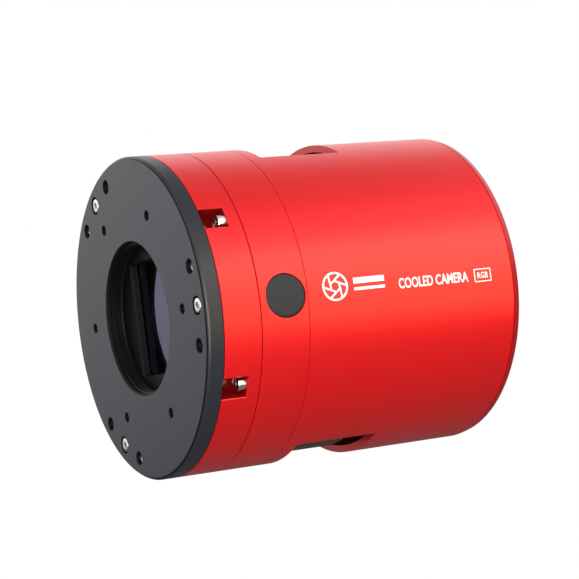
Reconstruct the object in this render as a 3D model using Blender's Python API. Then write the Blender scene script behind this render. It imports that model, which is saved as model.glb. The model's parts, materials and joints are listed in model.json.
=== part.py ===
"""Cooled astronomy camera, 90 mm across and 98 mm long, as separate solids.

Frame: metres, +Z up, the optical axis along Y. The origin is the centre of the front
mounting face. The front looks along -Y and the sockets look along +Y.
"""

import math

import bmesh
import bpy
from mathutils import Matrix, Vector

MM = 0.001
GAP = 0.3                  # clearance between touching pieces
SEG = 60                   # facets round the large turned parts

BODY_R = 45.0              # outside radius of plate, rings and barrel
PLATE_T = 4.7              # tilt plate thickness
PLATE_CHAMFER = 0.85
THREAD_MINOR_R = 20.6      # 42 mm x 0.75 mm telescope thread
THREAD_MAJOR_R = 21.05
LEAD_IN_R = 21.7
LEAD_IN_END = 1.3
THREAD_PITCH = 0.75
TILT_CIRCLE_R = 40.0       # circle of the tilt screws
PULL_ANGLES = (0.0, 120.0, 240.0)
SMALL_CIRCLE_R = 31.0      # circle of the small accessory holes
SMALL_HOLE_R = 1.4

RING1_Y0 = 5.0             # front ring
RING1_Y1 = 15.75
SLOT_ANGLES = (30.0, 90.0, 150.0, 210.0, 270.0, 330.0)
SLOT_W = 6.1
SLOT_END = 12.2
SLOT_FLOOR_R = 38.4
RING_SCREW_R = 42.5        # circle of the screws that stand in the slots

RING2_Y0 = 16.05           # middle ring
RING2_Y1 = 30.05
CHAMBER_R = 33.0
PLUG_Y = 23.65
PLUG_R = 5.7

BARREL_Y0 = 30.35          # rear barrel
BARREL_Y1 = 98.0
BARREL_WALL = 2.0
WINDOW_HALF_ANGLE = 27.1
WINDOW_Y0 = 34.1
WINDOW_Y1 = 59.4
WINDOW_CORNER = 0.6

BEZEL_Y0 = 5.3             # black frame in front of the chamber window
BEZEL_T = 2.1
APERTURE_X = 24.6
APERTURE_Z = 31.8
GLASS_R = 24.0
GLASS_Y0 = 7.7
GLASS_T = 2.0
SENSOR_Y = 17.5            # front of the sensor die

SINK_R = 42.4
SINK_Y0 = 31.2
SINK_BASE = 3.8
SINK_Y1 = 53.8
FIN_PITCH = 3.5
FIN_T = 1.2

FAN_Y0 = 60.0
FAN_T = 15.0
FAN_SIZE = 60.0
FAN_HOLE = 25.0
FAN_BORE_R = 28.5
ROTOR_R = 27.4
HUB_R = 11.0
BLADES = 7

COVER_Y0 = 94.3            # rear cover
COVER_Y1 = 97.0
COVER_R = 42.6
GRILLE_Z = 12.0
GRILLE_R = 21.0
COVER_SCREW_R = 38.2
COVER_SCREW_ANGLES = (45.0, 135.0, 195.0, 345.0)
PORT_Z = -23.0
PORT_Y0 = 81.0

HEX = "hex"

# --------------------------------------------------------------------------- helpers


def clear_scene():
    """Remove every object that is in the file."""
    for ob in list(bpy.data.objects):
        bpy.data.objects.remove(ob, do_unlink=True)


def material(name, colour, roughness, metallic):
    """Make one Principled material."""
    mat = bpy.data.materials.new(name)
    mat.use_nodes = True
    node = mat.node_tree.nodes["Principled BSDF"]
    node.inputs["Base Color"].default_value = (*colour, 1.0)
    node.inputs["Roughness"].default_value = roughness
    node.inputs["Metallic"].default_value = metallic
    return mat


def ring_radius(point, k, n):
    """Radius of one profile point at step k of n, round or six sided."""
    if len(point) > 2 and point[2] == HEX:
        if k % 2 == 0:
            return point[0] * 2.0 / math.sqrt(3.0)
        return point[0]
    return point[0]


def add_lathe(bm, profile, n, matrix=None, phase=0.0):
    """Turn a closed (radius, y) profile about the Y axis. Radius 0 makes a pole."""
    rings = []
    for point in profile:
        if point[0] <= 1e-9:
            rings.append([bm.verts.new((0.0, point[1] * MM, 0.0))])
            continue
        ring = []
        for k in range(n):
            ang = phase + 2.0 * math.pi * k / n
            r = ring_radius(point, k, n) * MM
            ring.append(bm.verts.new((r * math.cos(ang), point[1] * MM, r * math.sin(ang))))
        rings.append(ring)
    faces = []
    for i, ring in enumerate(rings):
        nxt = rings[(i + 1) % len(rings)]
        if len(ring) == 1 and len(nxt) == 1:
            continue
        for k in range(n):
            j = (k + 1) % n
            if len(ring) == 1:
                loop = (ring[0], nxt[k], nxt[j])
            elif len(nxt) == 1:
                loop = (ring[k], nxt[0], ring[j])
            else:
                loop = (ring[k], nxt[k], nxt[j], ring[j])
            faces.append(bm.faces.new(loop))
    if matrix is not None:
        verts = {v for ring in rings for v in ring}
        bmesh.ops.transform(bm, matrix=matrix, verts=list(verts))
    return faces


def along_x(y=0.0, z=0.0):
    """Matrix that lays a turned shape along +X at the given y and z."""
    return Matrix.Translation((0.0, y * MM, z * MM)) @ Matrix.Rotation(-math.pi / 2.0, 4, "Z")


def shifted(x, z):
    """Matrix that moves a turned shape to an (x, z) position."""
    return Matrix.Translation((x * MM, 0.0, z * MM))


def polar(radius, degrees):
    """(x, z) of a point on a circle about the optical axis."""
    ang = math.radians(degrees)
    return radius * math.cos(ang), radius * math.sin(ang)


def add_cyl(bm, x, z, r, y0, y1, n):
    """Add a cylinder along Y at (x, z)."""
    add_lathe(bm, [(0.0, y0), (r, y0), (r, y1), (0.0, y1)], n, shifted(x, z))


def add_prism(bm, outline, y0, y1):
    """Extrude an (x, z) outline along Y."""
    low = [bm.verts.new((x * MM, y0 * MM, z * MM)) for x, z in outline]
    high = [bm.verts.new((x * MM, y1 * MM, z * MM)) for x, z in outline]
    count = len(outline)
    bm.faces.new(low)
    bm.faces.new(list(reversed(high)))
    for i in range(count):
        j = (i + 1) % count
        bm.faces.new((low[i], high[i], high[j], low[j]))


def add_box(bm, x0, x1, y0, y1, z0, z1, turn=0.0):
    """Add a box given by its limits, turned about the Y axis by degrees."""
    made = bmesh.ops.create_cube(bm, size=1.0)["verts"]
    scale = Matrix.Diagonal(((x1 - x0) * MM, (y1 - y0) * MM, (z1 - z0) * MM, 1.0))
    move = Matrix.Translation(((x0 + x1) / 2 * MM, (y0 + y1) / 2 * MM, (z0 + z1) / 2 * MM))
    spin = Matrix.Rotation(-math.radians(turn), 4, "Y")
    bmesh.ops.transform(bm, matrix=spin @ move @ scale, verts=made)


def rounded_rect(w, h, r, steps=3, cx=0.0, cz=0.0):
    """Outline of a rectangle with round corners."""
    pts = []
    for sx, sz, start in ((1, 1, 0.0), (-1, 1, 90.0), (-1, -1, 180.0), (1, -1, 270.0)):
        for k in range(steps + 1):
            ang = math.radians(start + 90.0 * k / steps)
            x = cx + sx * (w / 2 - r) + r * math.cos(ang)
            z = cz + sz * (h / 2 - r) + r * math.sin(ang)
            pts.append((x, z))
    return pts


def finish(bm, name, mat, smooth=35.0):
    """Turn the bmesh into a named object with its material."""
    bmesh.ops.recalc_face_normals(bm, faces=bm.faces)
    mesh = bpy.data.meshes.new(name)
    bm.to_mesh(mesh)
    bm.free()
    ob = bpy.data.objects.new(name, mesh)
    bpy.context.scene.collection.objects.link(ob)
    if mat is not None:
        mesh.materials.append(mat)
    if smooth:
        for poly in mesh.polygons:
            poly.use_smooth = True
        mesh.set_sharp_from_angle(angle=math.radians(smooth))
    return ob


def tool(bm, name):
    """Finish a shape that only cuts or joins another one."""
    ob = finish(bm, name, None, 0.0)
    ob.hide_render = True
    ob.display_type = "WIRE"
    return ob


def combine(ob, helper, operation):
    """Add an exact boolean of the given kind."""
    mod = ob.modifiers.new(operation.title(), "BOOLEAN")
    mod.operation = operation
    mod.solver = "EXACT"
    mod.object = helper


def place(ob, x, z):
    """Move a finished object to an (x, z) position."""
    ob.location = Vector((x * MM, 0.0, z * MM))


def torus(bm, major, minor, y, n=40, m=6, matrix=None):
    """Add a round ring about the Y axis."""
    prof = []
    for k in range(m):
        ang = 2.0 * math.pi * k / m
        prof.append((major + minor * math.cos(ang), y + minor * math.sin(ang)))
    add_lathe(bm, prof, n, matrix)


def socket_screw(name, mat, x, z, y0, head_l, head_r, shaft_r, tip, flat, depth):
    """Cap screw with a six sided socket, its head facing -Y."""
    bm = bmesh.new()
    prof = [
        (0.0, y0 + depth),
        (flat, y0 + depth, HEX),
        (flat, y0, HEX),
        (head_r - 0.25, y0),
        (head_r, y0 + 0.25),
        (head_r, y0 + head_l),
        (shaft_r, y0 + head_l),
        (shaft_r, tip),
        (0.0, tip),
    ]
    add_lathe(bm, prof, 12)
    ob = finish(bm, name, mat)
    place(ob, x, z)
    return ob


def set_screw(name, mat, x, z, y0, y1, r, flat, depth):
    """Headless screw with a six sided socket facing -Y."""
    bm = bmesh.new()
    prof = [
        (0.0, y0 + depth),
        (flat, y0 + depth, HEX),
        (flat, y0, HEX),
        (r, y0),
        (r, y1),
        (0.0, y1),
    ]
    add_lathe(bm, prof, 12)
    ob = finish(bm, name, mat)
    place(ob, x, z)
    return ob


# ------------------------------------------------------------------------- materials

clear_scene()

RED = material("red_anodised", (0.62, 0.012, 0.012), 0.3, 0.9)
BLACK = material("black_anodised", (0.03, 0.031, 0.034), 0.45, 0.6)
PLUG_MAT = material("plug_black", (0.06, 0.065, 0.07), 0.5, 0.2)
STEEL = material("bright_steel", (0.75, 0.75, 0.74), 0.25, 1.0)
SINK_MAT = material("sink_black", (0.02, 0.02, 0.022), 0.5, 0.7)
GLASS = material("window_glass", (0.35, 0.33, 0.5), 0.05, 0.0)
RUBBER = material("seal_rubber", (0.015, 0.015, 0.015), 0.8, 0.0)
CERAMIC = material("ceramic_white", (0.75, 0.74, 0.7), 0.6, 0.0)
DIE = material("sensor_die", (0.05, 0.07, 0.12), 0.15, 0.3)
PACKAGE = material("sensor_package", (0.1, 0.08, 0.07), 0.6, 0.0)
BOARD = material("circuit_board", (0.01, 0.06, 0.03), 0.5, 0.0)
COPPER = material("copper", (0.7, 0.35, 0.2), 0.3, 1.0)
FOAM = material("insulation_foam", (0.12, 0.12, 0.12), 0.9, 0.0)
FAN_MAT = material("fan_plastic", (0.02, 0.02, 0.02), 0.55, 0.0)
PORT_BLUE = material("socket_blue", (0.02, 0.12, 0.5), 0.5, 0.0)
PORT_METAL = material("socket_shell", (0.7, 0.7, 0.7), 0.3, 1.0)
PORT_BLACK = material("socket_black", (0.02, 0.02, 0.02), 0.5, 0.0)
DESICCANT = material("desiccant", (0.8, 0.8, 0.78), 0.9, 0.0)
HEATER = material("heater_film", (0.55, 0.3, 0.06), 0.5, 0.0)


# ------------------------------------------------------------------------ tilt plate


def build_tilt_plate():
    """Front plate with the telescope thread, the screw circle and accessory holes."""
    bm = bmesh.new()
    prof = [
        (BODY_R - PLATE_CHAMFER, 0.0),
        (BODY_R, PLATE_CHAMFER),
        (BODY_R, PLATE_T),
        (THREAD_MINOR_R, PLATE_T),
    ]
    y = PLATE_T - 0.2
    while y - THREAD_PITCH > LEAD_IN_END:
        prof.append((THREAD_MINOR_R, y))
        prof.append((THREAD_MAJOR_R, y - THREAD_PITCH / 2))
        y -= THREAD_PITCH
    prof.append((THREAD_MINOR_R, y))
    prof.append((THREAD_MAJOR_R + 0.1, LEAD_IN_END))
    prof.append((LEAD_IN_R, 0.0))
    add_lathe(bm, prof, SEG)
    plate = finish(bm, "tilt_plate", BLACK, 30.0)

    cut = bmesh.new()
    for ang in PULL_ANGLES:
        x, z = polar(TILT_CIRCLE_R, ang)
        prof = [(0.0, -1.0), (2.5, -1.0), (2.5, 2.5), (1.3, 2.5), (1.3, PLATE_T + 1), (0.0, PLATE_T + 1)]
        add_lathe(cut, prof, 16, shifted(x, z))
        for side in (-15.0, 15.0):
            x, z = polar(TILT_CIRCLE_R, ang + side)
            add_cyl(cut, x, z, 1.95, -1.0, PLATE_T + 1.0, 14)
    for k in range(6):
        x, z = polar(SMALL_CIRCLE_R, 60.0 * k)
        add_cyl(cut, x, z, SMALL_HOLE_R, -1.0, 3.6, 12)
    combine(plate, tool(cut, "cut_tilt_plate"), "DIFFERENCE")


def build_tilt_screws():
    """Three pull screws, three push screws and three lock screws."""
    for i, ang in enumerate(PULL_ANGLES):
        x, z = polar(TILT_CIRCLE_R, ang)
        socket_screw(f"pull_screw_{i + 1}", STEEL, x, z, 0.15, 2.05, 2.0, 1.0, 9.0, 0.75, 1.1)
        x, z = polar(TILT_CIRCLE_R, ang + 15.0)
        set_screw(f"push_screw_{i + 1}", STEEL, x, z, 1.6, PLATE_T, 1.75, 0.75, 1.2)
        x, z = polar(TILT_CIRCLE_R, ang - 15.0)
        set_screw(f"lock_screw_{i + 1}", BLACK, x, z, 2.2, PLATE_T, 1.75, 0.75, 1.2)


# ----------------------------------------------------------------------------- rings


def slot_outline(degrees):
    """(x, z) outline of one slot, with a round inner end."""
    half = SLOT_W / 2
    line = [(48.0, half)]
    for k in range(9):
        ang = math.radians(90.0 + 22.5 * k)
        line.append((SLOT_FLOOR_R + half + half * math.cos(ang), half * math.sin(ang)))
    line.append((48.0, -half))
    turn = math.radians(degrees)
    cos, sin = math.cos(turn), math.sin(turn)
    return [(x * cos - z * sin, x * sin + z * cos) for x, z in line]


def build_front_ring():
    """Red ring that holds the chamber window, with six open slots for the screws."""
    bm = bmesh.new()
    prof = [
        (BODY_R, RING1_Y0),
        (BODY_R, RING1_Y1),
        (35.9, RING1_Y1),
        (35.9, 14.4),
        (34.1, 14.4),
        (34.1, RING1_Y1),
        (20.8, RING1_Y1),
        (20.8, 11.7),
        (27.5, 11.7),
        (27.5, 7.7),
        (29.3, 7.7),
        (29.3, RING1_Y0),
    ]
    add_lathe(bm, prof, SEG)
    ring = finish(bm, "front_ring", RED, 30.0)
    cut = bmesh.new()
    for ang in SLOT_ANGLES:
        add_prism(cut, slot_outline(ang), 4.0, SLOT_END)
    combine(ring, tool(cut, "cut_ring_slots"), "DIFFERENCE")
    drill = bmesh.new()
    for ang in SLOT_ANGLES:
        x, z = polar(RING_SCREW_R, ang)
        add_cyl(drill, x, z, 1.5, SLOT_END - 0.5, 17.0, 12)
    for ang in PULL_ANGLES:
        x, z = polar(TILT_CIRCLE_R, ang)
        add_cyl(drill, x, z, 1.3, 4.0, 10.0, 12)
    combine(ring, tool(drill, "drill_front_ring"), "DIFFERENCE")


def build_middle_ring():
    """Red ring round the sensor chamber, with the stepped hole of the drying plug."""
    bm = bmesh.new()
    prof = [
        (BODY_R, RING2_Y0),
        (BODY_R, RING2_Y1),
        (CHAMBER_R, RING2_Y1),
        (CHAMBER_R, RING2_Y0),
    ]
    add_lathe(bm, prof, SEG)
    ring = finish(bm, "middle_ring", RED, 30.0)
    cut = bmesh.new()
    hole = [(0.0, 31.0), (4.9, 31.0), (4.9, 39.4), (PLUG_R + 0.2, 39.4), (PLUG_R + 0.2, 47.0), (0.0, 47.0)]
    add_lathe(cut, hole, 24, along_x(PLUG_Y))
    for ang in SLOT_ANGLES:
        x, z = polar(RING_SCREW_R, ang)
        add_cyl(cut, x, z, 1.5, 15.0, 23.0, 12)
    combine(ring, tool(cut, "cut_middle_ring"), "DIFFERENCE")


def build_ring_screws():
    """Six cap screws that stand in the slots and join the two rings."""
    for i, ang in enumerate(SLOT_ANGLES):
        x, z = polar(RING_SCREW_R, ang)
        socket_screw(f"ring_screw_{i + 1}", STEEL, x, z, 9.6, 2.3, 2.2, 1.15, 21.5, 0.9, 1.2)


def build_plug():
    """Drying plug with its seal ring and tablet, along +X at the plug's height."""
    bm = bmesh.new()
    prof = [
        (0.0, 37.9),
        (3.9, 37.9),
        (3.9, 33.2),
        (4.5, 33.2),
        (4.5, 40.9),
        (PLUG_R, 40.9),
        (PLUG_R, 46.5),
        (0.0, 46.5),
    ]
    add_lathe(bm, prof, 24, along_x(PLUG_Y))
    plug = finish(bm, "drying_plug", PLUG_MAT)
    trim = bmesh.new()
    shell = [(BODY_R, 10.0), (BODY_R, 36.0), (60.0, 36.0), (60.0, 10.0)]
    add_lathe(trim, shell, 96)
    combine(plug, tool(trim, "trim_plug"), "DIFFERENCE")
    bm = bmesh.new()
    torus(bm, 5.2, 0.55, 40.15, 24, 6, along_x(PLUG_Y))
    finish(bm, "plug_seal", RUBBER)
    bm = bmesh.new()
    tablet = [(0.0, 33.4), (3.3, 33.4), (3.6, 33.7), (3.6, 37.6), (0.0, 37.6)]
    add_lathe(bm, tablet, 18, along_x(PLUG_Y))
    finish(bm, "drying_tablet", DESICCANT)


# ------------------------------------------------------------------- window and seals


def build_window():
    """Bezel with the rectangular aperture, chamber window, heater film and seals."""
    bm = bmesh.new()
    add_lathe(bm, [(0.0, BEZEL_Y0), (29.0, BEZEL_Y0), (29.0, BEZEL_Y0 + BEZEL_T), (0.0, BEZEL_Y0 + BEZEL_T)], 48)
    bezel = finish(bm, "window_bezel", BLACK, 30.0)
    cut = bmesh.new()
    add_prism(cut, rounded_rect(APERTURE_X, APERTURE_Z, 0.8, 2), 4.0, 9.0)
    combine(bezel, tool(cut, "cut_aperture"), "DIFFERENCE")

    bm = bmesh.new()
    y1 = GLASS_Y0 + GLASS_T
    add_lathe(bm, [(0.0, GLASS_Y0), (GLASS_R, GLASS_Y0), (GLASS_R, y1), (0.0, y1)], 40)
    finish(bm, "chamber_window", GLASS)
    bm = bmesh.new()
    add_lathe(bm, [(24.4, 8.0), (27.2, 8.0), (27.2, 8.9), (24.4, 8.9)], 40)
    finish(bm, "heater_film", HEATER)
    bm = bmesh.new()
    torus(bm, 22.7, 0.75, 10.8)
    finish(bm, "window_seal", RUBBER)
    bm = bmesh.new()
    torus(bm, 35.0, 0.65, 15.2)
    finish(bm, "chamber_seal", RUBBER)


# ------------------------------------------------------------------ sensor and cooler


def build_sensor():
    """Sensor package, die and cover glass on their board, and the cold finger."""
    bm = bmesh.new()
    add_prism(bm, rounded_rect(27.0, 34.0, 0.6, 1), 17.0, 20.3)
    package = finish(bm, "sensor_package", PACKAGE, 30.0)
    cut = bmesh.new()
    add_box(cut, -10.5, 10.5, 16.0, 18.3, -14.0, 14.0)
    combine(package, tool(cut, "cut_package"), "DIFFERENCE")
    bm = bmesh.new()
    add_box(bm, -7.85, 7.85, SENSOR_Y, SENSOR_Y + 0.5, -11.75, 11.75)
    finish(bm, "sensor_die", DIE, 0.0)
    bm = bmesh.new()
    add_box(bm, -12.5, 12.5, 16.1, 16.7, -16.0, 16.0)
    finish(bm, "sensor_cover_glass", GLASS, 0.0)

    bm = bmesh.new()
    add_prism(bm, rounded_rect(44.0, 44.0, 5.0, 2), 20.6, 22.2)
    board = finish(bm, "sensor_board", BOARD, 30.0)
    cut = bmesh.new()
    add_box(cut, -9.0, 9.0, 20.0, 23.0, -9.0, 9.0)
    combine(board, tool(cut, "cut_board"), "DIFFERENCE")

    bm = bmesh.new()
    add_box(bm, -8.2, 8.2, 20.6, 24.5, -8.2, 8.2)
    finger = finish(bm, "cold_finger", COPPER, 0.0)
    foot = bmesh.new()
    add_box(foot, -13.0, 13.0, 23.2, 25.5, -13.0, 13.0)
    combine(finger, tool(foot, "foot_cold_finger"), "UNION")

    bm = bmesh.new()
    add_box(bm, -12.0, 12.0, 25.8, 28.4, -12.0, 12.0)
    cooler = finish(bm, "thermoelectric_cooler", CERAMIC, 0.0)
    foot = bmesh.new()
    add_box(foot, -15.5, 15.5, 28.0, 30.9, -15.5, 15.5)
    combine(cooler, tool(foot, "foot_cooler"), "UNION")
    bm = bmesh.new()
    add_lathe(bm, [(23.0, 23.0), (31.5, 23.0), (31.5, 30.8), (23.0, 30.8)], 40)
    finish(bm, "insulation_ring", FOAM)


def build_heat_sink():
    """Round base with straight fins and four clearances for the spacers."""
    bm = bmesh.new()
    add_lathe(bm, [(0.0, SINK_Y0), (SINK_R, SINK_Y0), (SINK_R, SINK_Y1), (0.0, SINK_Y1)], SEG)
    sink = finish(bm, "heat_sink", SINK_MAT, 30.0)
    cut = bmesh.new()
    half = (FIN_PITCH - FIN_T) / 2
    for k in range(-11, 13):
        mid = (k - 0.5) * FIN_PITCH
        add_box(cut, mid - half, mid + half, SINK_Y0 + SINK_BASE, SINK_Y1 + 1, -50.0, 50.0)
    combine(sink, tool(cut, "cut_fins"), "DIFFERENCE")
    drill = bmesh.new()
    for sx in (-1, 1):
        for sz in (-1, 1):
            add_cyl(drill, sx * FAN_HOLE, sz * FAN_HOLE, 3.3, SINK_Y0 + SINK_BASE, SINK_Y1 + 1, 12)
    combine(sink, tool(drill, "drill_sink"), "DIFFERENCE")


# ------------------------------------------------------------------------------- fan


def build_fan():
    """Square fan housing with its struts, the bladed rotor, spacers and screws."""
    bm = bmesh.new()
    y1 = FAN_Y0 + FAN_T
    add_prism(bm, rounded_rect(FAN_SIZE, FAN_SIZE, 4.0, 2), FAN_Y0, y1)
    frame = finish(bm, "fan_housing", FAN_MAT, 30.0)
    cut = bmesh.new()
    add_cyl(cut, 0.0, 0.0, FAN_BORE_R, FAN_Y0 - 1, y1 + 1, 48)
    combine(frame, tool(cut, "cut_fan_bore"), "DIFFERENCE")
    drill = bmesh.new()
    for sx in (-1, 1):
        for sz in (-1, 1):
            add_cyl(drill, sx * FAN_HOLE, sz * FAN_HOLE, 2.15, FAN_Y0 - 1, y1 + 1, 12)
    combine(frame, tool(drill, "drill_fan"), "DIFFERENCE")
    struts = bmesh.new()
    add_box(struts, -30.0, 30.0, y1 - 1.8, y1 - 0.4, -1.5, 1.5, 20.0)
    add_struts = tool(struts, "strut_one")
    combine(frame, add_struts, "UNION")
    struts = bmesh.new()
    add_box(struts, -30.0, 30.0, y1 - 1.8, y1 - 0.4, -1.5, 1.5, 110.0)
    combine(frame, tool(struts, "strut_two"), "UNION")
    motor = bmesh.new()
    add_cyl(motor, 0.0, 0.0, 11.5, y1 - 2.0, y1, 24)
    combine(frame, tool(motor, "motor_seat"), "UNION")

    bm = bmesh.new()
    hub = [(0.0, 61.2), (HUB_R - 1.0, 61.2), (HUB_R, 62.2), (HUB_R, 72.5), (0.0, 72.5)]
    add_lathe(bm, hub, 24)
    rotor = finish(bm, "fan_rotor", FAN_MAT, 40.0)
    blades = bmesh.new()
    for k in range(BLADES):
        add_blade(blades, 360.0 * k / BLADES)
    combine(rotor, tool(blades, "rotor_blades"), "UNION")

    i = 0
    for sx in (-1, 1):
        for sz in (-1, 1):
            i += 1
            bm = bmesh.new()
            add_lathe(bm, [(0.0, 35.3), (2.9, 35.3), (2.9, 59.7), (0.0, 59.7)], 6)
            ob = finish(bm, f"fan_spacer_{i}", PORT_METAL, 0.0)
            place(ob, sx * FAN_HOLE, sz * FAN_HOLE)
            bm = bmesh.new()
            prof = [
                (0.0, 77.7),
                (2.2, 77.7),
                (2.7, 77.2),
                (2.7, 75.3),
                (1.5, 75.3),
                (1.5, 60.1),
                (0.0, 60.1),
            ]
            add_lathe(bm, prof, 12)
            ob = finish(bm, f"fan_screw_{i}", STEEL)
            place(ob, sx * FAN_HOLE, sz * FAN_HOLE)


def add_blade(bm, degrees):
    """One swept fan blade that starts inside the hub."""
    stations = ((10.0, 46.0), (15.5, 40.0), (21.5, 34.0), (ROTOR_R, 29.0))
    rows = []
    for r, pitch in stations:
        sweep = math.radians(degrees + (r - 10.0) * 0.9)
        half = 11.5 / 2 / math.cos(math.radians(46.0 - pitch) * 0.3)
        slope = math.tan(math.radians(90.0 - pitch - 20.0))
        row = []
        for dy, dt in ((-4.8, -0.6), (4.8, -0.6), (4.8, 0.6), (-4.8, 0.6)):
            y = 66.9 + dy * half / 5.75
            t = dy * slope * 0.75 + dt
            ang = sweep + t / r
            row.append(bm.verts.new((r * MM * math.cos(ang), y * MM, r * MM * math.sin(ang))))
        rows.append(row)
    for a, b in zip(rows, rows[1:]):
        for k in range(4):
            j = (k + 1) % 4
            bm.faces.new((a[k], a[j], b[j]))
            bm.faces.new((a[k], b[j], b[k]))
    bm.faces.new(rows[0])
    bm.faces.new(list(reversed(rows[-1])))


# ------------------------------------------------------------------- barrel and cover


def build_barrel():
    """Thin red barrel with two vent windows and four inner lugs for the cover."""
    inner = BODY_R - BARREL_WALL
    bm = bmesh.new()
    prof = [
        (BODY_R, BARREL_Y0),
        (BODY_R, BARREL_Y1 - 1.0),
        (BODY_R - 1.0, BARREL_Y1),
        (inner, BARREL_Y1),
        (inner, BARREL_Y0),
    ]
    add_lathe(bm, prof, SEG)
    barrel = finish(bm, "main_barrel", RED, 30.0)
    lugs = bmesh.new()
    for ang in COVER_SCREW_ANGLES:
        add_box(lugs, 35.2, 43.9, 84.0, 94.0, -3.5, 3.5, ang)
    combine(barrel, tool(lugs, "lugs_barrel"), "UNION")
    cut = bmesh.new()
    for ang in COVER_SCREW_ANGLES:
        x, z = polar(COVER_SCREW_R, ang)
        add_cyl(cut, x, z, 1.45, 86.0, 95.0, 12)
    half = BODY_R * math.sin(math.radians(WINDOW_HALF_ANGLE))
    mid = (WINDOW_Y0 + WINDOW_Y1) / 2
    length = WINDOW_Y1 - WINDOW_Y0
    outline = rounded_rect(2 * half, length, WINDOW_CORNER, 2, 0.0, mid)
    for z0, z1 in ((30.0, 50.0), (-50.0, -30.0)):
        low = [cut.verts.new((x * MM, y * MM, z0 * MM)) for x, y in outline]
        high = [cut.verts.new((x * MM, y * MM, z1 * MM)) for x, y in outline]
        cut.faces.new(low)
        cut.faces.new(list(reversed(high)))
        for i in range(len(outline)):
            j = (i + 1) % len(outline)
            cut.faces.new((low[i], high[i], high[j], low[j]))
    combine(barrel, tool(cut, "cut_barrel"), "DIFFERENCE")


def build_rear_cover():
    """Rear cover with the air grille, the socket cut-outs and four screws."""
    bm = bmesh.new()
    prof = [(0.0, COVER_Y0), (COVER_R, COVER_Y0), (COVER_R, COVER_Y1 - 0.4), (COVER_R - 0.4, COVER_Y1), (0.0, COVER_Y1)]
    add_lathe(bm, prof, SEG)
    cover = finish(bm, "rear_cover", RED, 30.0)
    cut = bmesh.new()
    for k in range(-4, 5):
        z = GRILLE_Z + 4.6 * k
        half = math.sqrt(max(GRILLE_R ** 2 - (4.6 * k) ** 2, 1.0))
        outline = rounded_rect(2 * half, 2.8, 1.35, 2, 0.0, z)
        add_prism(cut, outline, COVER_Y0 - 1, COVER_Y1 + 1)
    for ang in COVER_SCREW_ANGLES:
        x, z = polar(COVER_SCREW_R, ang)
        hole = [(0.0, 93.0), (1.6, 93.0), (1.6, 95.4), (2.8, 95.4), (2.8, 98.0), (0.0, 98.0)]
        add_lathe(cut, hole, 12, shifted(x, z))
    add_box(cut, -14.4, -1.6, 93.0, 98.0, PORT_Z - 6.0, PORT_Z + 6.0)
    for x in (8.5, 20.5):
        add_box(cut, x - 3.9, x + 3.9, 93.0, 98.0, PORT_Z - 7.6, PORT_Z + 7.6)
    add_cyl(cut, -25.0, PORT_Z, 5.3, 93.0, 98.0, 20)
    combine(cover, tool(cut, "cut_cover"), "DIFFERENCE")
    for i, ang in enumerate(COVER_SCREW_ANGLES):
        x, z = polar(COVER_SCREW_R, ang)
        bm = bmesh.new()
        prof = [
            (0.0, 96.0),
            (0.8, 96.0, HEX),
            (0.8, 97.0, HEX),
            (2.2, 97.0),
            (2.4, 96.8),
            (2.4, 95.7),
            (1.25, 95.7),
            (1.25, 87.0),
            (0.0, 87.0),
        ]
        add_lathe(bm, prof, 12)
        ob = finish(bm, f"cover_screw_{i + 1}", STEEL)
        place(ob, x, z)


def shell_socket(name, mat, x, z, w, h, wall, tongue):
    """Square socket, open at the rear, with a tongue inside."""
    bm = bmesh.new()
    add_box(bm, x - w / 2, x + w / 2, PORT_Y0, COVER_Y1, z - h / 2, z + h / 2)
    ob = finish(bm, name, mat, 0.0)
    cut = bmesh.new()
    add_box(cut, x - w / 2 + wall, x + w / 2 - wall, PORT_Y0 + 5, 98.0, z - h / 2 + wall, z + h / 2 - wall)
    combine(ob, tool(cut, f"cut_{name}"), "DIFFERENCE")
    add = bmesh.new()
    x0, x1, z0, z1 = tongue
    add_box(add, x + x0, x + x1, PORT_Y0 + 2, 94.9, z + z0, z + z1)
    combine(ob, tool(add, f"tongue_{name}"), "UNION")


def build_ports():
    """Main board with the data, hub and power sockets."""
    bm = bmesh.new()
    outline = []
    start = math.degrees(math.asin(-9.0 / 41.5))
    for k in range(21):
        outline.append(polar(41.5, start - (180.0 + 2.0 * start) * k / 20))
    add_prism(bm, outline, 79.0, 80.7)
    finish(bm, "main_board", BOARD, 30.0)
    shell_socket("data_socket", PORT_BLUE, -8.0, PORT_Z, 12.2, 11.4, 1.5, (-2.8, 2.8, -2.4, 1.0))
    shell_socket("hub_socket_1", PORT_METAL, 8.5, PORT_Z, 7.2, 14.6, 0.6, (-2.2, -0.4, -5.5, 5.5))
    shell_socket("hub_socket_2", PORT_METAL, 20.5, PORT_Z, 7.2, 14.6, 0.6, (-2.2, -0.4, -5.5, 5.5))
    bm = bmesh.new()
    prof = [
        (0.0, PORT_Y0),
        (5.0, PORT_Y0),
        (5.0, COVER_Y1),
        (3.2, COVER_Y1),
        (3.2, 86.0),
        (1.0, 86.0),
        (1.0, 95.0),
        (0.0, 95.0),
    ]
    add_lathe(bm, prof, 20)
    ob = finish(bm, "power_socket", PORT_BLACK)
    place(ob, -25.0, PORT_Z)


build_tilt_plate()
build_tilt_screws()
build_front_ring()
build_middle_ring()
build_ring_screws()
build_plug()
build_window()
build_sensor()
build_heat_sink()
build_fan()
build_barrel()
build_rear_cover()
build_ports()
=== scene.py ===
"""Looks of a cooled astronomy camera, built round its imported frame.

Sizes are millimetres in the classes and metres in the meshes. The origin is the centre
of the front mounting face, the front looks along -Y, and +Z is up.
"""

import json
import logging
import math
from dataclasses import dataclass, field
from enum import Enum
from typing import Callable, Iterable, Sequence, Union

import bmesh
import bpy
from mathutils import Matrix, Vector

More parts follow.
